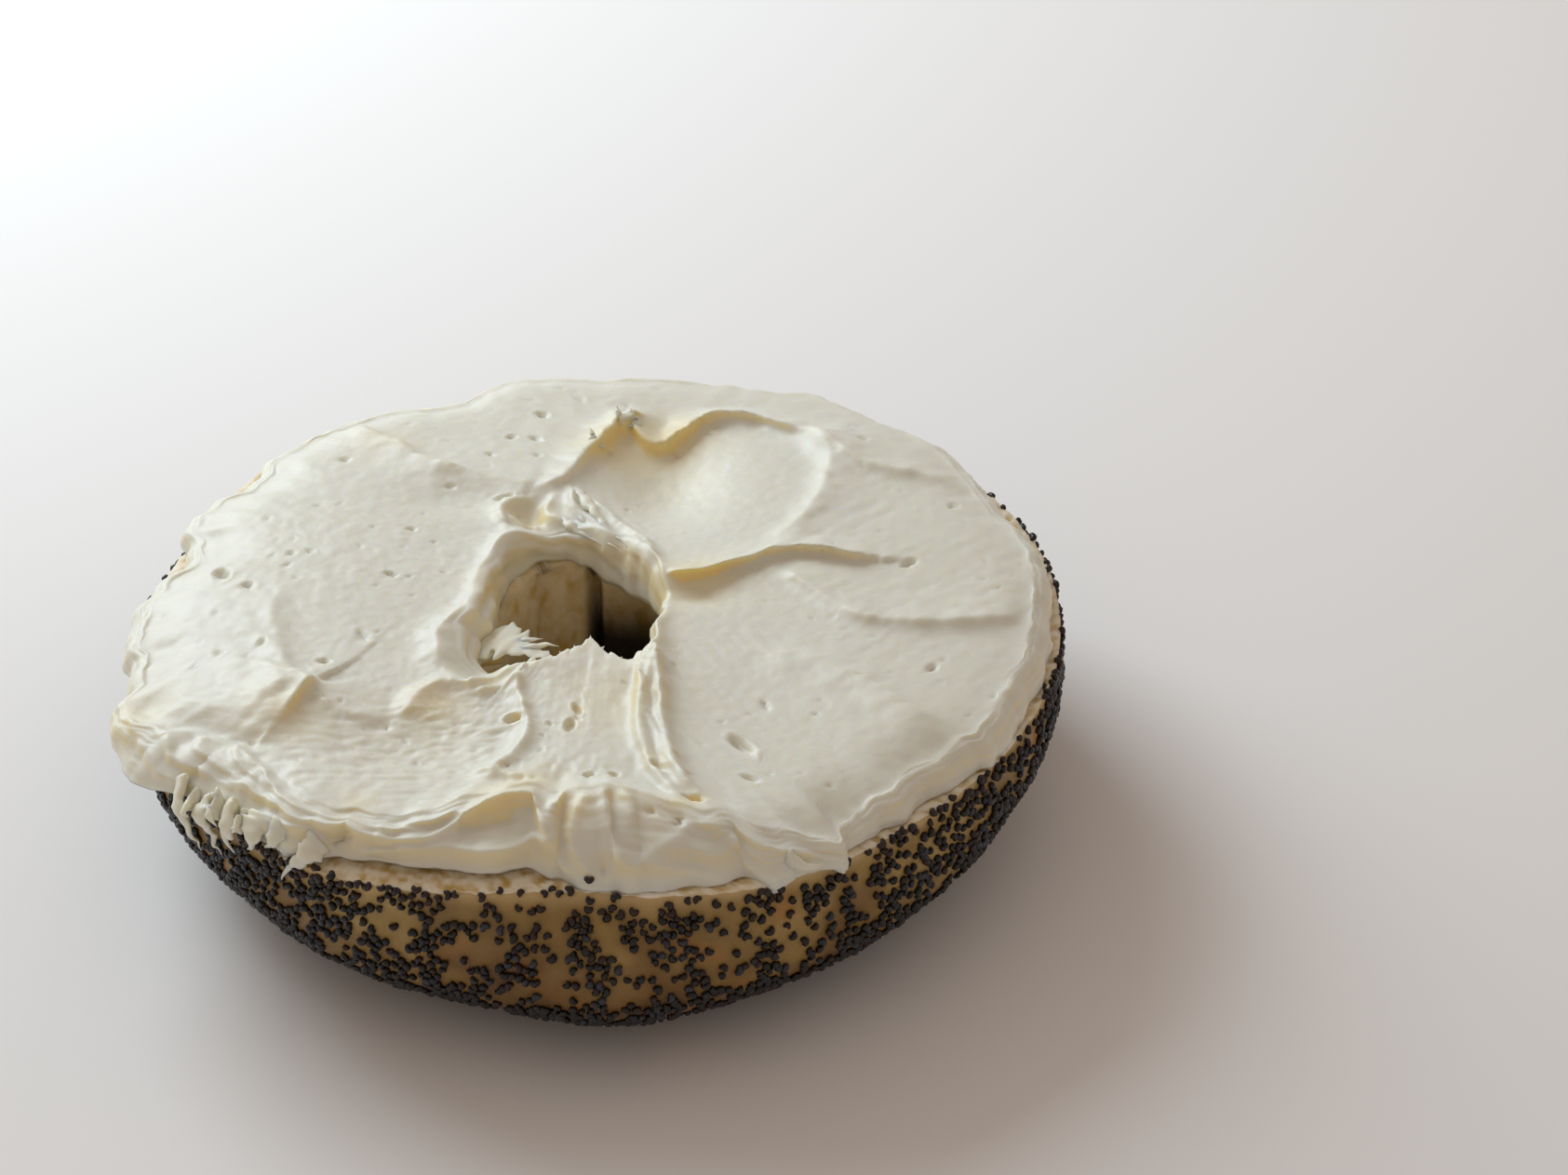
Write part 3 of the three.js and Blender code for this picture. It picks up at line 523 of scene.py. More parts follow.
def add_ridge(x, y, ridge, height, shift=None, stretch=(1.0, 1.0)):
    """Raises a ridge in a field of heights, and leans its crest to one side."""
    points, first, last, left, right, lean = ridge
    path = smooth_path(np.array(points, float) * stretch)
    reach = RIDGE_REACH * max(left, right)
    near = ((x > path[:, 0].min() - reach) & (x < path[:, 0].max() + reach)
            & (y > path[:, 1].min() - reach) & (y < path[:, 1].max() + reach))
    if not near.any():
        return
    away, share, left_x, left_y = beside_path(x[near], y[near], path)
    width = np.where(away > 0, left, right)
    profile = np.exp(-(np.abs(away) / width) ** RIDGE_SHARPNESS)
    spots = np.stack([x[near], y[near], np.full(away.shape, first * 9.0)], axis=-1)
    uneven = 1 + RIDGE_UNEVENNESS * noise(spots, 2.6, 7)
    ends = smoothstep(-0.02, 0.1, share) * smoothstep(1.02, 0.9, share)
    rise = (first + (last - first) * share) * (0.35 + 0.65 * ends) * uneven
    height[near] += rise * profile
    if shift is not None:
        lean = lean * profile ** 2 * np.clip(rise, 0, 2)
        shift[near] += np.stack([lean * left_x, lean * left_y], axis=-1)


def spread_relief(x, y):
    """Thickness of the spread and the sideways lean of its crests, at points seen from above."""
    spots = np.stack([x, y, np.zeros(x.shape)], axis=-1)
    bent_x = x + 0.8 * noise(spots, 11, 1) + 0.28 * noise(spots, 3.1, 2)
    bent_y = y + 0.8 * noise(spots, 11, 3) + 0.28 * noise(spots, 3.1, 4)
    height = np.full(x.shape, SPREAD_THICKNESS)
    shift = np.zeros(x.shape + (2,))
    for *mound, rise in MOUNDS:
        height += rise * peak_at(x, y, *mound)
    for ridge in RIDGES:
        add_ridge(bent_x, bent_y, ridge, height, shift)
    return height, shift


def spread_texture(x, y):
    """Streaks, lumps, wrinkles and bubbles that the knife leaves on the spread."""
    spots = np.stack([x, y, np.zeros(x.shape)], axis=-1)
    lumps = 0.7 * noise(spots, 3.4, 11) + 0.4 * noise(spots, 1.5, 12)
    total = np.full(x.shape, 0.2)
    fine = np.zeros(x.shape)
    heading = np.zeros(x.shape)
    for px, py, rx, ry, direction, streaks, lump, wrinkle in PATCHES:
        weight = peak_at(x, y, px, py, rx, ry)
        turned = np.stack([*turned_to(direction, x, y), np.full(x.shape, px)], axis=-1)
        streak = 0.7 * noise(turned, (11, 1.3, 1), 13) + 0.5 * noise(turned, (7, 0.6, 1), 14)
        folded = 1 - 2 * np.abs(noise(turned, (4.6, 1.5, 1), 15))
        finer = 1 - 2 * np.abs(noise(turned, (2.2, 0.9, 1), 16))
        fine += weight * (streaks * streak + lump * lumps + wrinkle * (0.5 * folded + 0.3 * finer))
        heading += weight * direction
        total += weight
    fine /= total
    heading /= total
    fine += 0.03 * noise(spots, 0.7, 17) + 0.05 * noise(spots, 1.4, 18)
    draw = np.random.default_rng(57)
    bubbles = [
        (draw.uniform(-RIM_RADIUS, RIM_RADIUS), draw.uniform(-RIM_RADIUS, RIM_RADIUS),
         draw.uniform(0.5, 1.3), draw.uniform(0.4, 0.7), draw.normal(-40, 25), draw.uniform(0.1, 0.3))
        for _ in range(BUBBLE_COUNT)
    ]
    for px, py, length, width, direction, depth in PITS + bubbles:
        near = (np.abs(x - px) < length + 0.6) & (np.abs(y - py) < length + 0.6)
        if not near.any():
            continue
        along, across = turned_to(direction, x[near] - px, y[near] - py)
        out = np.hypot(along * 2 / length, across * 2 / width)
        rim = np.exp(-((out - 1.25) / 0.22) ** 2)
        fine[near] += -depth * smoothstep(1.15, 0.45, out) + 0.16 * depth * rim
    return fine


def throat_relief(bearing, hole_turn):
    """Strands of spread that run into the hole."""
    x = np.broadcast_to(bearing * 0.21, (SPREAD_LOOPS, HOLE_ROWS))
    y = np.broadcast_to(np.linspace(0, 4.5, HOLE_ROWS), (SPREAD_LOOPS, HOLE_ROWS))
    flow = np.stack([x, y - 0.12 * x, 0 * x], axis=-1)
    strands = 0.5 * noise(flow, (9, 1.6, 1), 29)
    strands += 0.25 * (1 - 2 * np.abs(noise(flow, (6, 0.9, 1), 30)))
    return strands * np.sin(hole_turn * 2)


def face_relief(bearing, face_rows, belly):
    """Folds of the front face, and the swirl at its left end, over its general belly."""
    x = np.broadcast_to(bearing * FACE_SCALE[0], (SPREAD_LOOPS, FACE_ROWS))
    y = np.broadcast_to(face_rows * FACE_SCALE[1], (SPREAD_LOOPS, FACE_ROWS))
    folds = np.zeros(x.shape)
    for fold in FOLDS:
        add_ridge(x, y, fold, folds, stretch=FACE_SCALE)
    turned = 0.55 * swelling([(216, 9, 1.0)], bearing) * x.clip(180, 210)
    streamed = np.stack([x, y + 0.5 * turned / 60 * (x - 194), 0 * x], axis=-1)
    swirl = 0.3 * noise(streamed, 5.0, 25) + 0.2 * noise(streamed, (5.0, 1.4, 1), 26)
    swirl += 0.1 * (1 - 2 * np.abs(noise(streamed, (3.2, 0.8, 1), 63)))
    fade = smoothstep(-0.02, 0.12, face_rows) * smoothstep(1.0, 0.85, face_rows)
    return (folds + belly + swirl) * fade


def shade_tint_of(points):
    """Painted shade tint of the spread, from 0 to 1: a yellow that stands in for light glowing through the
    cream in shade, on its steep faces and at listed spots where it is thin or deep.
    """
    tilt = 1 - surface_normals(points)[..., 2]
    # painted shade: steep faces get the yellow tint that stands in for light glowing through the cream
    painted_shade_tint = STEEP_SHADE_TINT * smoothstep(0.25, 0.8, tilt) * smoothstep(24.6, 27.0, points[..., 2])
    tilted = 0.35 + 0.65 * smoothstep(0.05, 0.5, tilt)
    for x, y, reach, strength in SHADE_TINT_SPOTS:
        spot = np.exp(-((points[..., 0] - x) ** 2 + (points[..., 1] - y) ** 2) / reach ** 2)
        painted_shade_tint = painted_shade_tint + strength * spot * tilted
    return np.clip(painted_shade_tint, 0, 1)


def spread_piece():
    """The cream cheese: one closed skin with its hole face, top, front face, strands and underside."""
    even = np.arange(SPREAD_LOOPS) * 360.0 / SPREAD_LOOPS
    bearing = (even - 14 * np.sin(np.radians(even - 250)))[:, None]
    around = ring_point(bearing, 52.0, 0.0)
    slanted = smoothstep(207, 213, bearing) * smoothstep(300, 293, bearing)
    edge_radius = outline(SPREAD_EDGE, bearing) + 0.4 * noise(around, 3.2, 21)
    edge_radius += 0.25 * noise(around, 1.3, 22)
    edge_radius += (1 - slanted) * (0.9 * noise(around, 9, 64) + 0.4 * noise(around, 4, 65))
    edge_height = outline(EDGE_HEIGHT, bearing) + 0.2 * noise(around, 2.0, 23)
    edge_height += (1 - slanted) * 0.5 * np.clip(noise(around, 7, 66), 0, 1)
    crest_in = outline(CREST, bearing)
    crest_height = outline([(b, h) for b, _, h in CREST], bearing)
    crest_height += 0.12 * noise(around, 2.6, 27)
    crust_radius, _ = crust_at(bearing, SHOULDER * np.clip((CUT_HEIGHT - edge_height) / 8, 0, 1))
    around_hole = hole_point(bearing, 0.0, 0.0)
    frayed = smoothstep(226, 238, bearing) * smoothstep(318, 306, bearing)
    fringe = np.clip(1.3 * noise(around_hole, 0.8, 61) + 0.5 * noise(around_hole, 2.6, 62), 0, 1)
    hole_out = outline(SPREAD_HOLE, bearing) + 0.3 * noise(around_hole, 3.0, 24)
    hole_out -= 1.2 * frayed * fringe
    hole_height = outline([(b, h) for b, _, h in SPREAD_HOLE], bearing)
    hole_height += 0.25 * noise(around_hole, 3.4, 28)
    inner = hole_point(bearing, hole_out, 0.0)
    edge = ring_point(bearing, edge_radius, 0.0)
    crest = ring_point(bearing, edge_radius - crest_in, 0.0)
    reach = np.linalg.norm(crest - inner, axis=-1, keepdims=True)
    brink = inner + (crest - inner) * outline(HOLE_FACE, bearing)[..., None] / reach

    def lay(start, end, shares):
        return start + (end - start) * shares[None, :, None]

    hole_turn = np.linspace(0, np.pi / 2, HOLE_ROWS + 1)[:-1]
    top_rows = np.linspace(0, 1, TOP_ROWS + 1)[:-1]
    face_rows = np.linspace(0, 1, FACE_ROWS)
    top = lay(brink, crest, top_rows)
    face_out = slanted * face_rows + (1 - slanted) * np.sin(face_rows * np.pi / 2)
    face = crest + (edge - crest) * face_out[..., None]
    throat = lay(inner, brink, 1 - np.cos(hole_turn))
    plan = np.concatenate([throat, top, face], axis=1)
    rows = plan.shape[1]
    first_top = HOLE_ROWS
    first_face = first_top + TOP_ROWS
    height, shift = spread_relief(plan[..., 0], plan[..., 1])
    height += CUT_HEIGHT
    # the relief runs out into the crest
    inward = (1 - top_rows) * np.linalg.norm(crest - brink, axis=-1)
    near_crest = np.exp(-(inward / CREST_RUN_IN) ** 1.6)
    height[:, first_top:first_face] += near_crest * (crest_height - height[:, first_top:first_face])
    # and is even along the brink of the hole
    brink_height = height[:, first_top:first_top + 1]
    smooth_brink = sum(np.roll(brink_height, k, 0) for k in range(-9, 10)) / 19
    near_brink = np.exp(-(top_rows * reach[:, 0] / 1.2) ** 2)
    height[:, first_top:first_face] += near_brink * (smooth_brink - brink_height)
    height[:, :first_top] = hole_height + (smooth_brink - hole_height) * np.sin(hole_turn)
    fall = slanted * (0.8 * face_rows + 0.2 * face_rows ** 3)
    fall = fall + (1 - slanted) * (1 - np.cos(face_rows * np.pi / 2))
    height[:, first_face:] = crest_height + (edge_height - crest_height) * fall
    plan[..., 2] = height
    calm = np.concatenate([np.zeros(first_top), smoothstep(0, 0.05, top_rows),
                           1 - smoothstep(0, 0.35, face_rows)])
    plan[..., :2] += shift * calm[None, :, None]

    # strands hang down the crust from under the edge
    hang = swelling(STRANDS, bearing)
    tucked = np.minimum(edge_radius - 0.5, crust_radius + 0.9)
    hang_rows = []
    for share in np.linspace(0, 1, HANG_ROWS):
        drop = (hang + 0.15) * share
        radius = tucked + 0.35 * hang * np.sin(np.pi * share) - 0.3 * share * hang
        hang_rows.append(ring_point(bearing, radius, edge_height - 0.05 - drop))
    under = CUT_HEIGHT + UNDERSIDE_GAP
    back = np.minimum(edge_radius - 1.2, crust_radius - 0.8)
    flat_edge = ring_point(bearing, back, under)
    flat_inner = inner * [1, 1, 0] + [0, 0, under]
    heel_radius = np.minimum(tucked - 0.4, crust_radius + 0.1)
    below = [ring_point(bearing, heel_radius, edge_height - 0.12 - 0.9 * hang),
             ring_point(bearing, back, np.minimum(edge_height + 0.3, under))]
    below += [flat_edge + (flat_inner - flat_edge) * share for share in (0.3, 0.7, 0.97)]
    loops = [loop.reshape(SPREAD_LOOPS, 1, 3) for loop in hang_rows + below]
    points = np.concatenate([plan] + loops, axis=1)

    fine = np.zeros(points.shape[:2])
    fine[:, :rows] = spread_texture(plan[..., 0], plan[..., 1]) * calm
    fine[:, :first_top] = throat_relief(bearing, hole_turn)
    belly = 0.12 * crest_in * np.sin(np.pi * face_rows) * slanted
    fine[:, first_face:rows] += face_relief(bearing, face_rows, belly) * (0.7 + 0.3 * slanted)
    points = points + surface_normals(points) * fine[..., None]
    return grid_object("cream_cheese_spread", points, {"painted_shade_tint": shade_tint_of(points)})


def wisps_piece(spread):
    """Tassels and thin strands of cream cheese that the knife pulled out, each drawn to a point."""
    skin = vertex_places(spread.data)
    turn = np.linspace(0, 2 * np.pi, STRAND_SIDES, endpoint=False)
    vertices, faces = [], []
    strands = [(*strand, True, True) for strand in TASSELS]
    strands += [(*strand, False, True) for strand in PEAKS]
    strands += [(*strand, False, False) for strand in WISPS]
    for points, width, depth, hung, drawn in strands:
        points = [list(point) for point in points]
        if hung:
            nearest = skin[np.argmin(np.sum((skin - points[0]) ** 2, axis=1))]
            points[0] = nearest * [0.99, 0.99, 1]
        path = smooth_path(points, 12)
        share = np.linspace(0, 1, len(path))[:, None]
        sway = np.stack([noise(path, 1.6, seed) for seed in (71, 72, 73)], axis=-1)
        path = path + sway * (0.6 * share if hung else 0.2)
        ahead = np.gradient(path, axis=0)
        ahead /= np.linalg.norm(ahead, axis=1, keepdims=True)
        outward = path * [1, 1, 0]
        outward /= np.linalg.norm(outward, axis=1, keepdims=True)
        lift = outward if hung else np.where(np.abs(ahead[:, 2:]) < 0.75, [0, 0, 1], outward)
        side = np.cross(ahead, lift)
        side /= np.linalg.norm(side, axis=1, keepdims=True)
        lift = np.cross(side, ahead)
        if drawn:
            thick = 0.04 + 0.96 * (1 - share) ** 1.25
        else:
            thick = smoothstep(-0.05, 0.12, share) * (0.05 + 0.95 * smoothstep(1.02, 0.35, share))
        thick = thick * (1 + 0.3 * noise(path, 0.9, 74)[:, None])
        apart = 9.0 * np.sign(np.cos(turn))
        margin = np.stack(np.broadcast_arrays(path[:, :1], path[:, 1:2], apart), axis=-1)
        fray = 1 + 0.5 * min(width / 2, 1) * (noise(margin, 1.1, 75) + 0.6 * noise(margin, 0.5, 76))
        out = width * thick * np.cos(turn) * fray
        up = depth * np.sqrt(thick) * np.sin(turn) * (0.3 + 0.7 * np.sqrt(thick))
        rings = path[:, None] + out[..., None] * side[:, None] + up[..., None] * lift[:, None]
        first = len(vertices)
        vertices += [tuple(v) for v in (rings.reshape(-1, 3) + CENTRING) * MM]
        vertices += [tuple((path[0] + CENTRING) * MM), tuple((path[-1] + CENTRING) * MM)]
        last = first + (len(path) - 1) * STRAND_SIDES
        start = last + STRAND_SIDES
        for ring in range(first, last, STRAND_SIDES):
            above = ring + STRAND_SIDES
            for i in range(STRAND_SIDES):
                beside = (i + 1) % STRAND_SIDES
                faces.append((ring + beside, ring + i, above + i, above + beside))
        for i in range(STRAND_SIDES):
            beside = (i + 1) % STRAND_SIDES
            faces.append((start, first + i, first + beside))
            faces.append((start + 1, last + beside, last + i))
    mesh = bpy.data.meshes.new("cream_cheese_wisps")
    mesh.from_pydata(vertices, [], faces)
    mesh.polygons.foreach_set("use_smooth", np.ones(len(faces), bool))
    # the strands get a small, even share of the painted yellow shade tint
    paint(mesh, "painted_shade_tint", np.full(len(vertices), STRAND_SHADE_TINT))
    return linked("cream_cheese_wisps", mesh)


def bread_piece():
    """The half ring of bread: crust, foot, hole wall and torn cut face."""
    even = np.arange(BREAD_LOOPS) * 360.0 / BREAD_LOOPS
    bearing = (even - 10 * np.sin(np.radians(even - 265)))[:, None]

    # rows of points: crust, foot, hole wall and the cut face back to the edge
    crust_share = np.linspace(0, 1, 61)[None, :]
    radius, height = crust_at(bearing, crust_share)
    crust = ring_point(bearing, radius, height)
    foot_edge = hole_point(bearing, HOLE_FLARE, 0.0)
    foot = crust[:, -1:] + (foot_edge - crust[:, -1:]) * np.linspace(0, 1, 9)[None, 1:-1, None]
    turn = np.linspace(0, np.pi / 2, 21)[None, :]
    wall = hole_point(bearing, HOLE_FLARE * (1 - np.sin(turn)), HOLE_FLARE_HEIGHT * (1 - np.cos(turn)))
    upper = hole_point(bearing, 0.0, np.linspace(HOLE_FLARE_HEIGHT, CUT_HEIGHT, 8)[None, 1:])
    cut_share = np.linspace(0, 1, 42)[None, 1:-1] ** 0.6
    cut = upper[:, -1:] + (crust[:, :1] - upper[:, -1:]) * cut_share[..., None]
    points = np.concatenate([crust, foot, wall, upper, cut], axis=1)
    rows = [crust.shape[1], foot.shape[1], wall.shape[1] + upper.shape[1], cut.shape[1]]
    at = np.cumsum([0] + rows)

    relief = np.zeros(points.shape[:2])
    skin = points[:, :at[2]]
    relief[:, :at[2]] = 0.4 * noise(skin, 15, 31) + 0.16 * noise(skin, 5, 32) + 0.05 * noise(skin, 1.6, 33)
    inside = points[:, at[2]:at[3]]
    relief[:, at[2]:at[3]] = (0.5 * noise(inside, (4, 4, 14), 34) + 0.22 * noise(inside, (1.6, 1.6, 4), 35)
                              + 0.08 * noise(inside, 0.8, 36) - swelling(HOLE_CREASES, bearing))
    torn = points[:, at[3]:]
    pores = smoothstep(0.1, 0.6, noise(torn, 1.7, 37)) + 0.6 * smoothstep(0.1, 0.5, noise(torn, 0.9, 38))
    relief[:, at[3]:] = 0.15 * noise(torn, 4, 39) + 0.08 * noise(torn, 0.7, 40) - 0.18 * pores
    points = points + surface_normals(points) * relief[..., None]
    # the knife leaves the cut edge ragged
    ragged = 0.3 * noise(points[:, :1], 2.4, 41) + 0.2 * noise(points[:, :1], 1.0, 42)
    edge_fade = np.exp(-crust_share * 26)
    points[:, :at[1], 2] += ragged * edge_fade
    lowest = CRUST_CLEARANCE + 0.05 * noise(points, 2.0, 43)
    points[..., 2] = np.maximum(points[..., 2], lowest)

    low = 1 - points[..., 2] / CUT_HEIGHT
    # darker towards the floor, and in random patches
    darker_low_and_in_patches = 0.7 * low + 0.3 * noise(points, 12, 44) + 0.2 * noise(points, 4, 45) + 0.15
    # painted shade: the hole wall is painted nearly black low on its back right side, where shade falls
    # deep in the hole
    shade = smoothstep(22, 12, points[..., 2]) * smoothstep(10, 50, bearing) * smoothstep(96, 84, bearing)
    side_cover = side_seed_cover(bearing, points, at)
    left = points[..., 0] < 0
    front = points[..., 1] < 0
    toasted = (np.exp(-((bearing - 281.5) / 3.6) ** 2 - ((points[..., 2] - 5.5) / 3.0) ** 2)
               + 0.6 * smoothstep(0.35, 0.8, noise(points, 7, 47)) * (points[..., 2] > 2))
    # painted shade in the pores of the cut face, and a golden tone over the hole wall, stronger in random
    # patches
    pore_shade_and_wall_tone = np.zeros(points.shape[:2])
    pore_shade_and_wall_tone[:, at[3]:] = np.clip(pores, 0, 1)
    pore_shade_and_wall_tone[:, at[2]:at[3]] = 0.45 + 0.55 * smoothstep(0.1, 0.6, noise(inside, (1.6, 1.6, 3), 46))
    pale_band = np.zeros(points.shape[:2])
    pale_band[:, :at[1]] = np.exp(-(crust_share / 0.035) ** 2)
    piece = grid_object("bagel_bread", points, {
        "darker_low_and_in_patches": np.clip(darker_low_and_in_patches, 0, 1), "pale_band": pale_band, "pore_shade_and_wall_tone": pore_shade_and_wall_tone, "unlit": shade,
        "left_seeds": side_cover * left * front, "right_seeds": side_cover * (1 - left) * front,
        "back_seeds": side_cover * (1 - front), "toasted": toasted,
        "foot_seeds": foot_seed_cover(points, at)})
    row = np.tile(np.arange(points.shape[1]), BREAD_LOOPS)
    crust_end = at[2] + CRUST_ROWS_IN_HOLE
    piece.data.materials.append(crust_material())
    piece.data.materials.append(crumb_material())
    piece.data.polygons.foreach_set("material_index", (row >= crust_end).astype(np.int32))
    return piece


def side_seed_cover(bearing, points, at):
    """How closely seeds lie on the side of the crust, from 0 to 1."""
    cover = np.zeros(points.shape[:2])
    side = points[:, :at[1]]
    z = side[..., 2]
    low = smoothstep(15, 4, z)
    sparse = swelling([(258, 8, 0.6), (292, 9, 1.0)], bearing) * smoothstep(6, 14, z)
    dense_end = swelling([(222, 17, 1.0), (322, 18, 0.8)], bearing)
    clumps = noise(side, 3.6, 51) + 0.7 * noise(side, 1.7, 52)
    level = 0.66 + 0.22 * dense_end - 0.3 * sparse + 0.2 * low
    filled = np.clip(level + 0.95 * clumps, 0.2, 1)
    bare = swelling([(281, 5, 1.0)], bearing) * np.exp(-((z - 5.5) / 3.2) ** 2)
    behind = 2.6 * swelling([(135, 40, 1.0)], bearing)
    upper_edge = smoothstep(25.2, 23.6, z + behind + 1.2 * noise(side, 4, 53) - 0.8 * dense_end)
    cover[:, :at[1]] = filled * upper_edge * (1 - 0.85 * bare)
    return np.where(points[..., 2] > FOOT_TOP, np.clip(cover, 0, 1), 0)


def foot_seed_cover(points, at):
    """How closely pressed seeds lie under the foot and low in the hole, from 0 to 1."""
    cover = np.zeros(points.shape[:2])
    z = points[..., 2]
    patches = smoothstep(-0.5, 0.3, noise(points, 7, 54))
    end = at[2] + SEED_ROWS_IN_HOLE
    cover[:, :end] = (0.62 * patches * smoothstep(9, 4, z))[:, :end]
    cover[:, :at[1]] *= z[:, :at[1]] <= FOOT_TOP
    return np.clip(cover, 0, 1)


def seed_mesh():
    """One kidney-shaped seed, lying on its side, with its lower part below zero."""
    around = 10
    rings = 4
    half = SEED_LENGTH / 2
    thick = half * 0.7
    vertices = [(0, 0, -thick)]
    for ring in range(1, rings):
        tilt = math.pi * ring / rings
        out = math.sin(tilt) ** 0.8
        for i in range(around):
            turn = 2 * math.pi * (i + 0.5) / around
            x = half * out * math.cos(turn)
            y = half * 0.86 * out * math.sin(turn)
            notch = 0.46 * half * out * math.exp(-(x / half / 0.4) ** 2) if y > 0 else 0.0
            vertices.append((x, y + 0.22 * (x / half) ** 2 * half - notch, -thick * math.cos(tilt)))
    vertices.append((0, 0, thick))
    last = len(vertices) - 1
    faces = [(0, 1 + (i + 1) % around, 1 + i) for i in range(around)]
    for ring in range(rings - 2):
        for i in range(around):
            a = 1 + ring * around + i
            b = 1 + ring * around + (i + 1) % around
            faces += [(a, b, b + around), (a, b + around, a + around)]
    top = 1 + (rings - 2) * around
    faces += [(last, top + i, top + (i + 1) % around) for i in range(around)]
    lifted = [(x * MM, y * MM, (z + SEED_LIFT) * MM) for x, y, z in vertices]
    mesh = bpy.data.meshes.new("seed")
    mesh.from_pydata(lifted, [], faces)
    mesh.polygons.foreach_set("use_smooth", np.ones(len(faces), bool))
    return mesh


def stray_seed(spread):
    """One seed that stuck to the front of the lip."""
    away = np.sum((vertex_places(spread.data) - STRAY_SEED) ** 2, axis=1)
    nearest = spread.data.vertices[int(np.argmin(away))]
    mesh = seed_mesh()
    turn = nearest.normal.to_track_quat("Z", "Y").to_matrix().to_4x4()
    mesh.transform(Matrix.Translation(nearest.co) @ turn)
    return linked("stray_poppy_seed", mesh)


def add(tree, kind, settings=None, inputs=None):
    """Adds a node, sets its options, and fills or links its inputs."""
    node = tree.nodes.new(kind)
    for name, value in (settings or {}).items():
        setattr(node, name, value)
    for name, value in (inputs or {}).items():
        socket = node.inputs[name]
        if isinstance(value, bpy.types.NodeSocket):
            tree.links.new(value, socket)
        else:
            socket.default_value = value
    return node


def scatter_tree(name, material):
    """Geometry Nodes that lay seeds on a surface, spaced apart, where a cover attribute allows them."""
    tree = bpy.data.node_groups.new(name, "GeometryNodeTree")
    for label, kind in (("Crust", "Geometry"), ("Seed", "Object"), ("Cover", "String"), ("Gap", "Float"),
                        ("Seeds per m2", "Float"), ("Thinness", "Float"), ("Draw", "Int")):
        tree.interface.new_socket(label, in_out="INPUT", socket_type="NodeSocket" + kind)
    tree.interface.new_socket("Seeds", in_out="OUTPUT", socket_type="NodeSocketGeometry")
    given = add(tree, "NodeGroupInput").outputs
    cover = add(tree, "GeometryNodeInputNamedAttribute", {"data_type": "FLOAT"}, {"Name": given["Cover"]})
    spread = add(tree, "GeometryNodeDistributePointsOnFaces", {"distribute_method": "POISSON"}, {
        "Mesh": given["Crust"], "Distance Min": given["Gap"], "Density Max": given["Seeds per m2"],
        "Density Factor": cover.outputs["Attribute"], "Seed": given["Draw"]})
    spin = add(tree, "FunctionNodeRandomValue", {"data_type": "FLOAT_VECTOR"}, {"Seed": given["Draw"]})
    spin.inputs["Min"].default_value = (-0.5, -0.5, -math.pi)
    spin.inputs["Max"].default_value = (0.5, 0.5, math.pi)
    lying = add(tree, "FunctionNodeRotateRotation", {"rotation_space": "LOCAL"}, {
        "Rotation": spread.outputs["Rotation"], "Rotate By": spin.outputs["Value"]})
    size = add(tree, "FunctionNodeRandomValue", {"data_type": "FLOAT"}, {})
    sockets = [s for s in size.inputs if s.enabled]
    sockets[0].default_value = LEAST_SEED
    sockets[1].default_value = LARGEST_SEED
    height = add(tree, "ShaderNodeMath", {"operation": "MULTIPLY"})
    value = next(s for s in size.outputs if s.enabled)
    tree.links.new(value, height.inputs[0])
    tree.links.new(given["Thinness"], height.inputs[1])
    scale = add(tree, "ShaderNodeCombineXYZ", {}, {"X": value, "Y": value, "Z": height.outputs[0]})
    shape = add(tree, "GeometryNodeObjectInfo", {}, {"Object": given["Seed"]})
    copies = add(tree, "GeometryNodeInstanceOnPoints", {}, {
        "Points": spread.outputs["Points"], "Instance": shape.outputs["Geometry"],
        "Rotation": lying.outputs["Rotation"], "Scale": scale.outputs["Vector"]})
    shade = add(tree, "FunctionNodeRandomValue", {"data_type": "FLOAT"}, {"Seed": given["Draw"]})
    toned = add(tree, "GeometryNodeStoreNamedAttribute", {"data_type": "FLOAT", "domain": "INSTANCE"}, {
        "Geometry": copies.outputs["Instances"], "Name": "tone",
        "Value": next(s for s in shade.outputs if s.enabled)})
    real = add(tree, "GeometryNodeRealizeInstances", {}, {"Geometry": toned.outputs["Geometry"]})
    painted = add(tree, "GeometryNodeSetMaterial", {}, {
        "Geometry": real.outputs["Geometry"], "Material": material})
    add(tree, "NodeGroupOutput", {}, {"Seeds": painted.outputs["Geometry"]})
    return tree


def scattered_seeds(name, bed, material, values):
    """Lays seeds on the bed with a scatter tree, and turns the result into one plain mesh."""
    pattern = linked("seed_pattern", seed_mesh())
    tree = scatter_tree(name + "_scatter", material)
    helper = linked(name + "_bed", bed.data.copy())
    modifier = helper.modifiers.new("scatter", "NODES")
    modifier.node_group = tree
    inputs = [item for item in tree.interface.items_tree if item.in_out == "INPUT"]
    sockets = {item.name: item.identifier for item in inputs}
    modifier[sockets["Seed"]] = pattern
    for label, value in values.items():
        modifier[sockets[label]] = value
    bpy.context.view_layer.update()
    made = helper.evaluated_get(bpy.context.evaluated_depsgraph_get())
    mesh = bpy.data.meshes.new_from_object(made)
    mesh.name = name
    mesh.materials.clear()
    mesh.materials.append(material)
    # seeds by the cut edge are toasted brown
    tone = np.empty(len(mesh.vertices), np.float32)
    mesh.attributes["tone"].data.foreach_get("value", tone)
    place = np.empty(3 * len(mesh.vertices), np.float32)
    mesh.vertices.foreach_get("co", place)
    tone *= 1 - 0.85 * smoothstep(20.5 * MM, 22.6 * MM, place[2::3])
    mesh.attributes["tone"].data.foreach_set("value", tone)
    piece = linked(name, mesh)
    bpy.data.objects.remove(helper)
    bpy.data.objects.remove(pattern)
    return piece


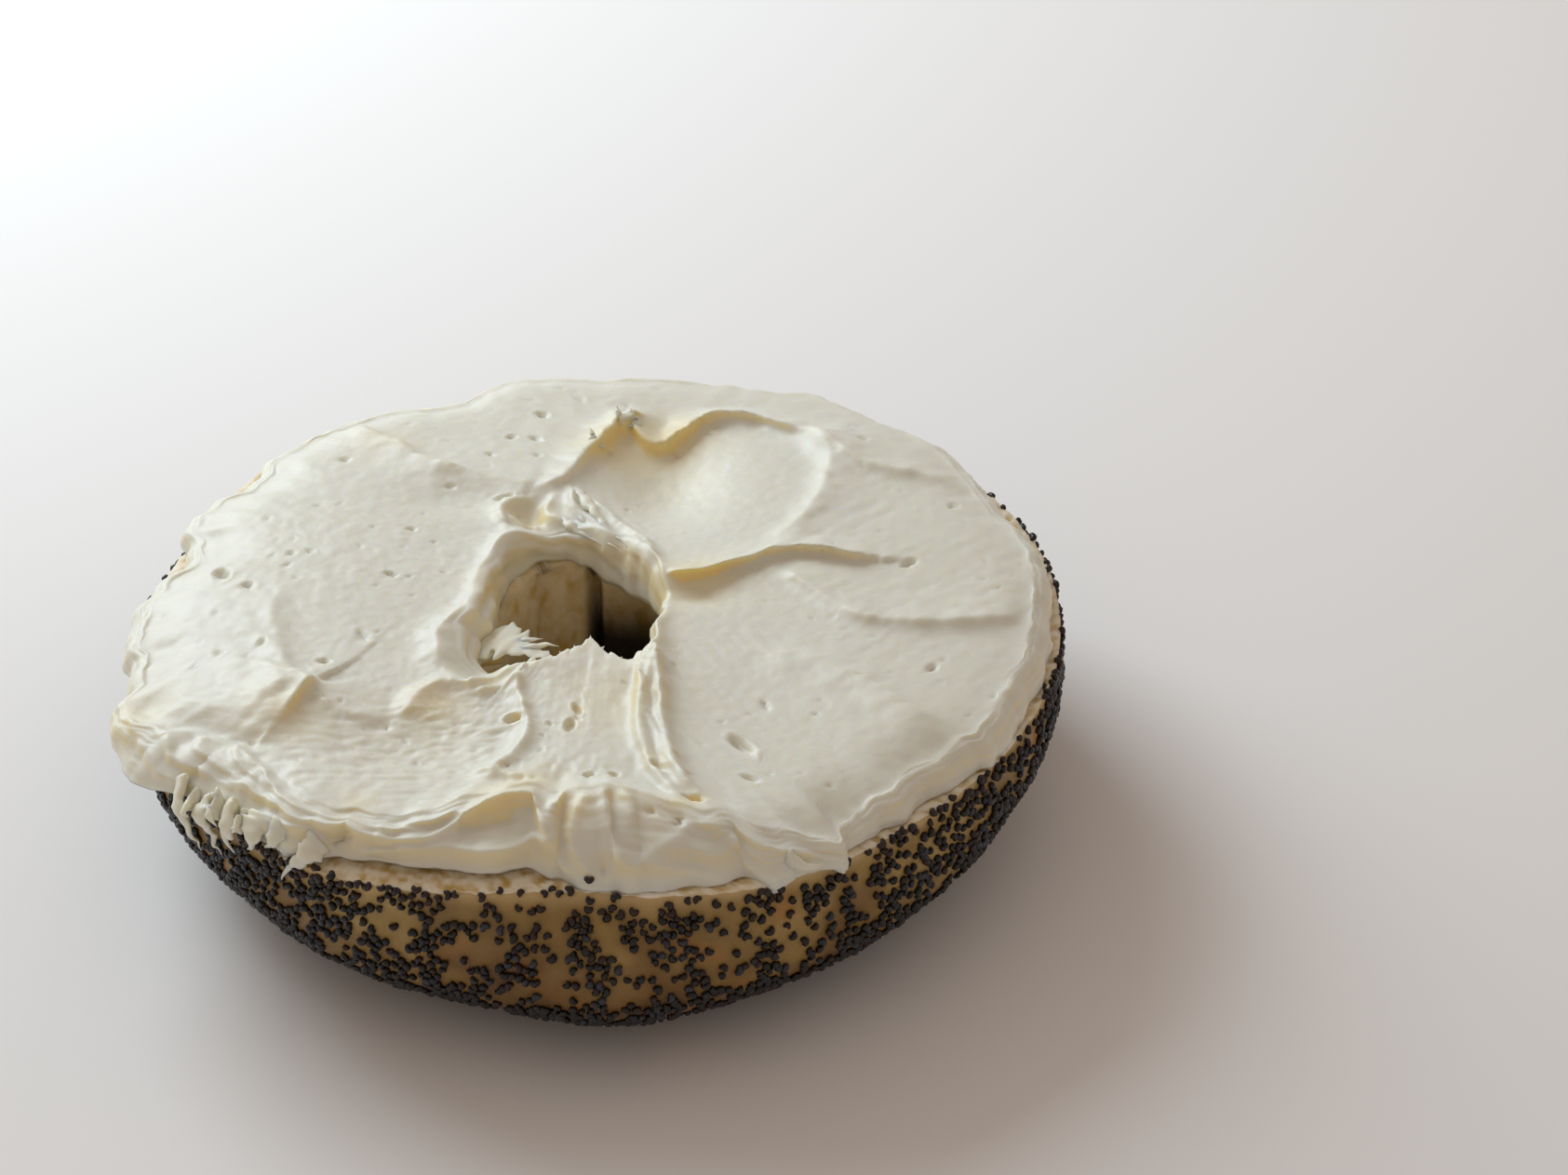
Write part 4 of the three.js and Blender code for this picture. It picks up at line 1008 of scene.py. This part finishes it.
def new_material(name):
    """Empty node material and its shader."""
    material = bpy.data.materials.new(name)
    material.use_nodes = True
    tree = material.node_tree
    return material, tree, tree.nodes["Principled BSDF"]


def painted_value(tree, label):
    """Value that was painted on the mesh."""
    return add(tree, "ShaderNodeAttribute", {"attribute_name": label}).outputs["Fac"]


def clouds(tree, scale, detail):
    """Soft random pattern, with a number of waves to the metre."""
    place = add(tree, "ShaderNodeTexCoord").outputs["Object"]
    texture = add(tree, "ShaderNodeTexNoise", {}, {"Vector": place, "Scale": scale, "Detail": detail})
    return texture.outputs["Fac"]


def colour_mix(tree, factor, low, high):
    """Colour that runs from low to high with the factor; each is a code or another node's colour."""
    mix = add(tree, "ShaderNodeMix", {"data_type": "RGBA"}, {"Factor": factor})
    for socket, colour in ((mix.inputs[6], low), (mix.inputs[7], high)):
        if isinstance(colour, str):
            socket.default_value = srgb(colour)
        else:
            tree.links.new(colour, socket)
    return mix.outputs[2]


def colour_ramp(tree, factor, first, last, *between):
    """Colour that runs through stops of (position, code)."""
    ramp = add(tree, "ShaderNodeValToRGB", {}, {"Fac": factor})
    stops = ramp.color_ramp.elements
    for stop, (position, code) in zip(list(stops), (first, last)):
        stop.position = position
        stop.color = srgb(code)
    for position, code in between:
        stops.new(position).color = srgb(code)
    return ramp.outputs["Color"]


def finish(tree, shader, colour, relief, strength, distance, values):
    """Links colour and relief to the shader, and sets its values."""
    tree.links.new(colour, shader.inputs["Base Color"])
    bump = add(tree, "ShaderNodeBump", {}, {
        "Strength": strength, "Distance": distance * MM, "Height": relief})
    tree.links.new(bump.outputs["Normal"], shader.inputs["Normal"])
    for label, value in values.items():
        shader.inputs[label].default_value = value


def cream_cheese_material():
    """Whipped cream cheese, wiped on with a knife: soft, a little glossy, and light passes into it,
    so thin crests look ivory; deep folds and steep faces get a painted yellow shade that stands in for
    light glowing through the cream."""
    material, tree, shader = new_material("whipped_cream_cheese")
    ivory = colour_mix(tree, clouds(tree, 90.0, 3.0), "#eaebe1", "#e6e5d6")
    # painted shade: yellow mixed in on steep faces and deep folds, standing in for light glowing through
    # the cream
    colour = colour_mix(tree, painted_value(tree, "painted_shade_tint"), ivory, "#f3de9a")
    finish(tree, shader, colour, clouds(tree, 1400.0, 3.0), 0.12, 0.25, {
        "Subsurface Weight": 0.5, "Subsurface Radius": (1.0, 0.76, 0.36), "Subsurface Scale": 1.7 * MM,
        "Roughness": 0.44, "IOR": 1.42})
    return material


def crust_material():
    """Boiled and baked bagel crust: a smooth tan skin, browner lower down and in random patches."""
    material, tree, shader = new_material("baked_bagel_crust")
    mixed = add(tree, "ShaderNodeMath", {"operation": "MULTIPLY_ADD"})
    tree.links.new(clouds(tree, 260.0, 5.0), mixed.inputs[0])
    mixed.inputs[1].default_value = 0.5
    tree.links.new(painted_value(tree, "darker_low_and_in_patches"), mixed.inputs[2])
    tan = colour_ramp(tree, mixed.outputs[0], (0.15, "#bca066"), (1.0, "#664922"),
                      (0.4, "#a3864c"), (0.6, "#8c6f3c"), (0.8, "#82602e"))
    orange = colour_mix(tree, painted_value(tree, "toasted"), tan, "#b07434")
    colour = colour_mix(tree, painted_value(tree, "pale_band"), orange, "#ccb07c")
    finish(tree, shader, colour, clouds(tree, 620.0, 5.0), 0.55, 0.5, {
        "Subsurface Weight": 0.15, "Subsurface Radius": (1.0, 0.5, 0.25), "Subsurface Scale": 1.2 * MM,
        "Roughness": 0.5, "IOR": 1.45})
    return material


def crumb_material():
    """Sliced bagel crumb: pale, open and dry, with painted shade in its torn pores and low down the hole,
    and golden over the hole wall.
    """
    material, tree, shader = new_material("sliced_bagel_crumb")
    pores = clouds(tree, 700.0, 5.0)
    # painted shade: the crumb is darker where its bump pattern dips into pores
    pale = colour_ramp(tree, pores, (0.3, "#e8d6b0"), (0.6, "#fbf3e2"))
    # painted shade in the pores of the cut face, and the golden tone of the hole wall
    torn = colour_mix(tree, painted_value(tree, "pore_shade_and_wall_tone"), pale, "#cfae60")
    # painted shade: nearly black low on the back right of the hole
    colour = colour_mix(tree, painted_value(tree, "unlit"), torn, "#120b07")
    finish(tree, shader, colour, pores, 0.6, 0.4, {
        "Subsurface Weight": 0.3, "Subsurface Radius": (1.0, 0.7, 0.4), "Subsurface Scale": 1.5 * MM,
        "Roughness": 0.85})
    return material


def poppy_seed_material():
    """Blue poppy seed: dry, pitted and nearly black, with a soft grey bloom."""
    material, tree, shader = new_material("blue_poppy_seed")
    colour = colour_ramp(tree, painted_value(tree, "tone"), (0.0, "#2c1813"), (1.0, "#32343f"),
                         (0.16, "#150d0c"), (0.5, "#0d0c10"), (0.82, "#17181e"))
    place = add(tree, "ShaderNodeTexCoord").outputs["Object"]
    pits = add(tree, "ShaderNodeTexVoronoi", {}, {"Vector": place, "Scale": 4200.0})
    finish(tree, shader, colour, pits.outputs["Distance"], 0.4, 0.08, {"Roughness": 0.36})
    return material


def floor_piece():
    """Plain pale floor."""
    side = 3.0
    corners = [(-side, -side, 0), (side, -side, 0), (side, side, 0), (-side, side, 0)]
    mesh = bpy.data.meshes.new("floor")
    mesh.from_pydata(corners, [], [(0, 1, 2, 3)])
    floor = linked("floor", mesh)
    material, _, shader = new_material("pale_floor")
    shader.inputs["Base Color"].default_value = srgb("#f7f7f7")
    shader.inputs["Roughness"].default_value = 0.9
    mesh.materials.append(material)


def soft_light(name, place, aim, size, power, colour):
    """Large square lamp that looks at a point."""
    lamp = bpy.data.lights.new(name, "AREA")
    lamp.size = size
    lamp.energy = power
    lamp.color = srgb(colour)[:3]
    holder = linked(name, lamp)
    holder.location = place
    direction = np.subtract(aim, place)
    holder.rotation_euler = (math.acos(-direction[2] / np.linalg.norm(direction)), 0,
                             math.atan2(direction[1], direction[0]) - math.pi / 2)


def studio():
    """Pale surroundings and one large soft window behind the bagel, to its left."""
    world = bpy.data.worlds.new("pale_room")
    bpy.context.scene.world = world
    world.use_nodes = True
    background = world.node_tree.nodes["Background"]
    background.inputs["Color"].default_value = srgb("#ffebdc")
    background.inputs["Strength"].default_value = 0.40
    soft_light("back_window", (-0.34, 0.42, 0.36), (0, 0, 0.02), 0.42, 3.5, "#e9f7ff")
    bpy.context.scene.view_settings.view_transform = "Standard"
    bpy.context.scene.view_settings.look = "None"


def photo_camera():
    """Camera 430 mm away, looking down 33 degrees at a point to the right of the bagel."""
    elevation = math.radians(CAMERA_ELEVATION)
    away = CAMERA_DISTANCE * np.array([0, -math.cos(elevation), math.sin(elevation)])
    place = CAMERA_AIM + CENTRING + away
    lens = bpy.data.cameras.new("photo_camera")
    lens.sensor_width = SENSOR_WIDTH
    lens.lens = PIXELS_PER_MM * CAMERA_DISTANCE / PICTURE_WIDTH * SENSOR_WIDTH
    lens.clip_start = 0.01
    camera = linked("photo_camera", lens)
    camera.location = place * MM
    camera.rotation_euler = (math.pi / 2 - elevation, 0, 0)
    bpy.context.scene.camera = camera


photo_camera()
studio()
floor_piece()

spread = spread_piece()
spread.data.materials.append(cream_cheese_material())
wisps = wisps_piece(spread)
wisps.data.materials.append(spread.data.materials[0])
bread = bread_piece()
seed_finish = poppy_seed_material()
seed_pieces = []
for label, cover, gap, thinness, draw in (
        ("poppy_seeds_left", "left_seeds", SEED_GAP, 1.0, 5),
        ("poppy_seeds_right", "right_seeds", SEED_GAP, 1.0, 8),
        ("poppy_seeds_back", "back_seeds", SEED_GAP, 1.0, 6),
        ("pressed_seeds", "foot_seeds", PRESSED_GAP, PRESSED_THINNESS, 7)):
    seed_pieces.append(scattered_seeds(label, bread, seed_finish, {
        "Cover": cover, "Gap": gap * MM, "Seeds per m2": SEEDS_PER_MM2 / MM ** 2, "Thinness": thinness,
        "Draw": draw}))
seed_pieces.append(stray_seed(spread))
seed_pieces[-1].data.materials.append(seed_finish)

for piece in (spread, wisps):
    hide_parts("cream_cheese")
    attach(piece, "root")
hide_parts("bread")
for piece in [bread] + seed_pieces:
    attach(piece, "root")
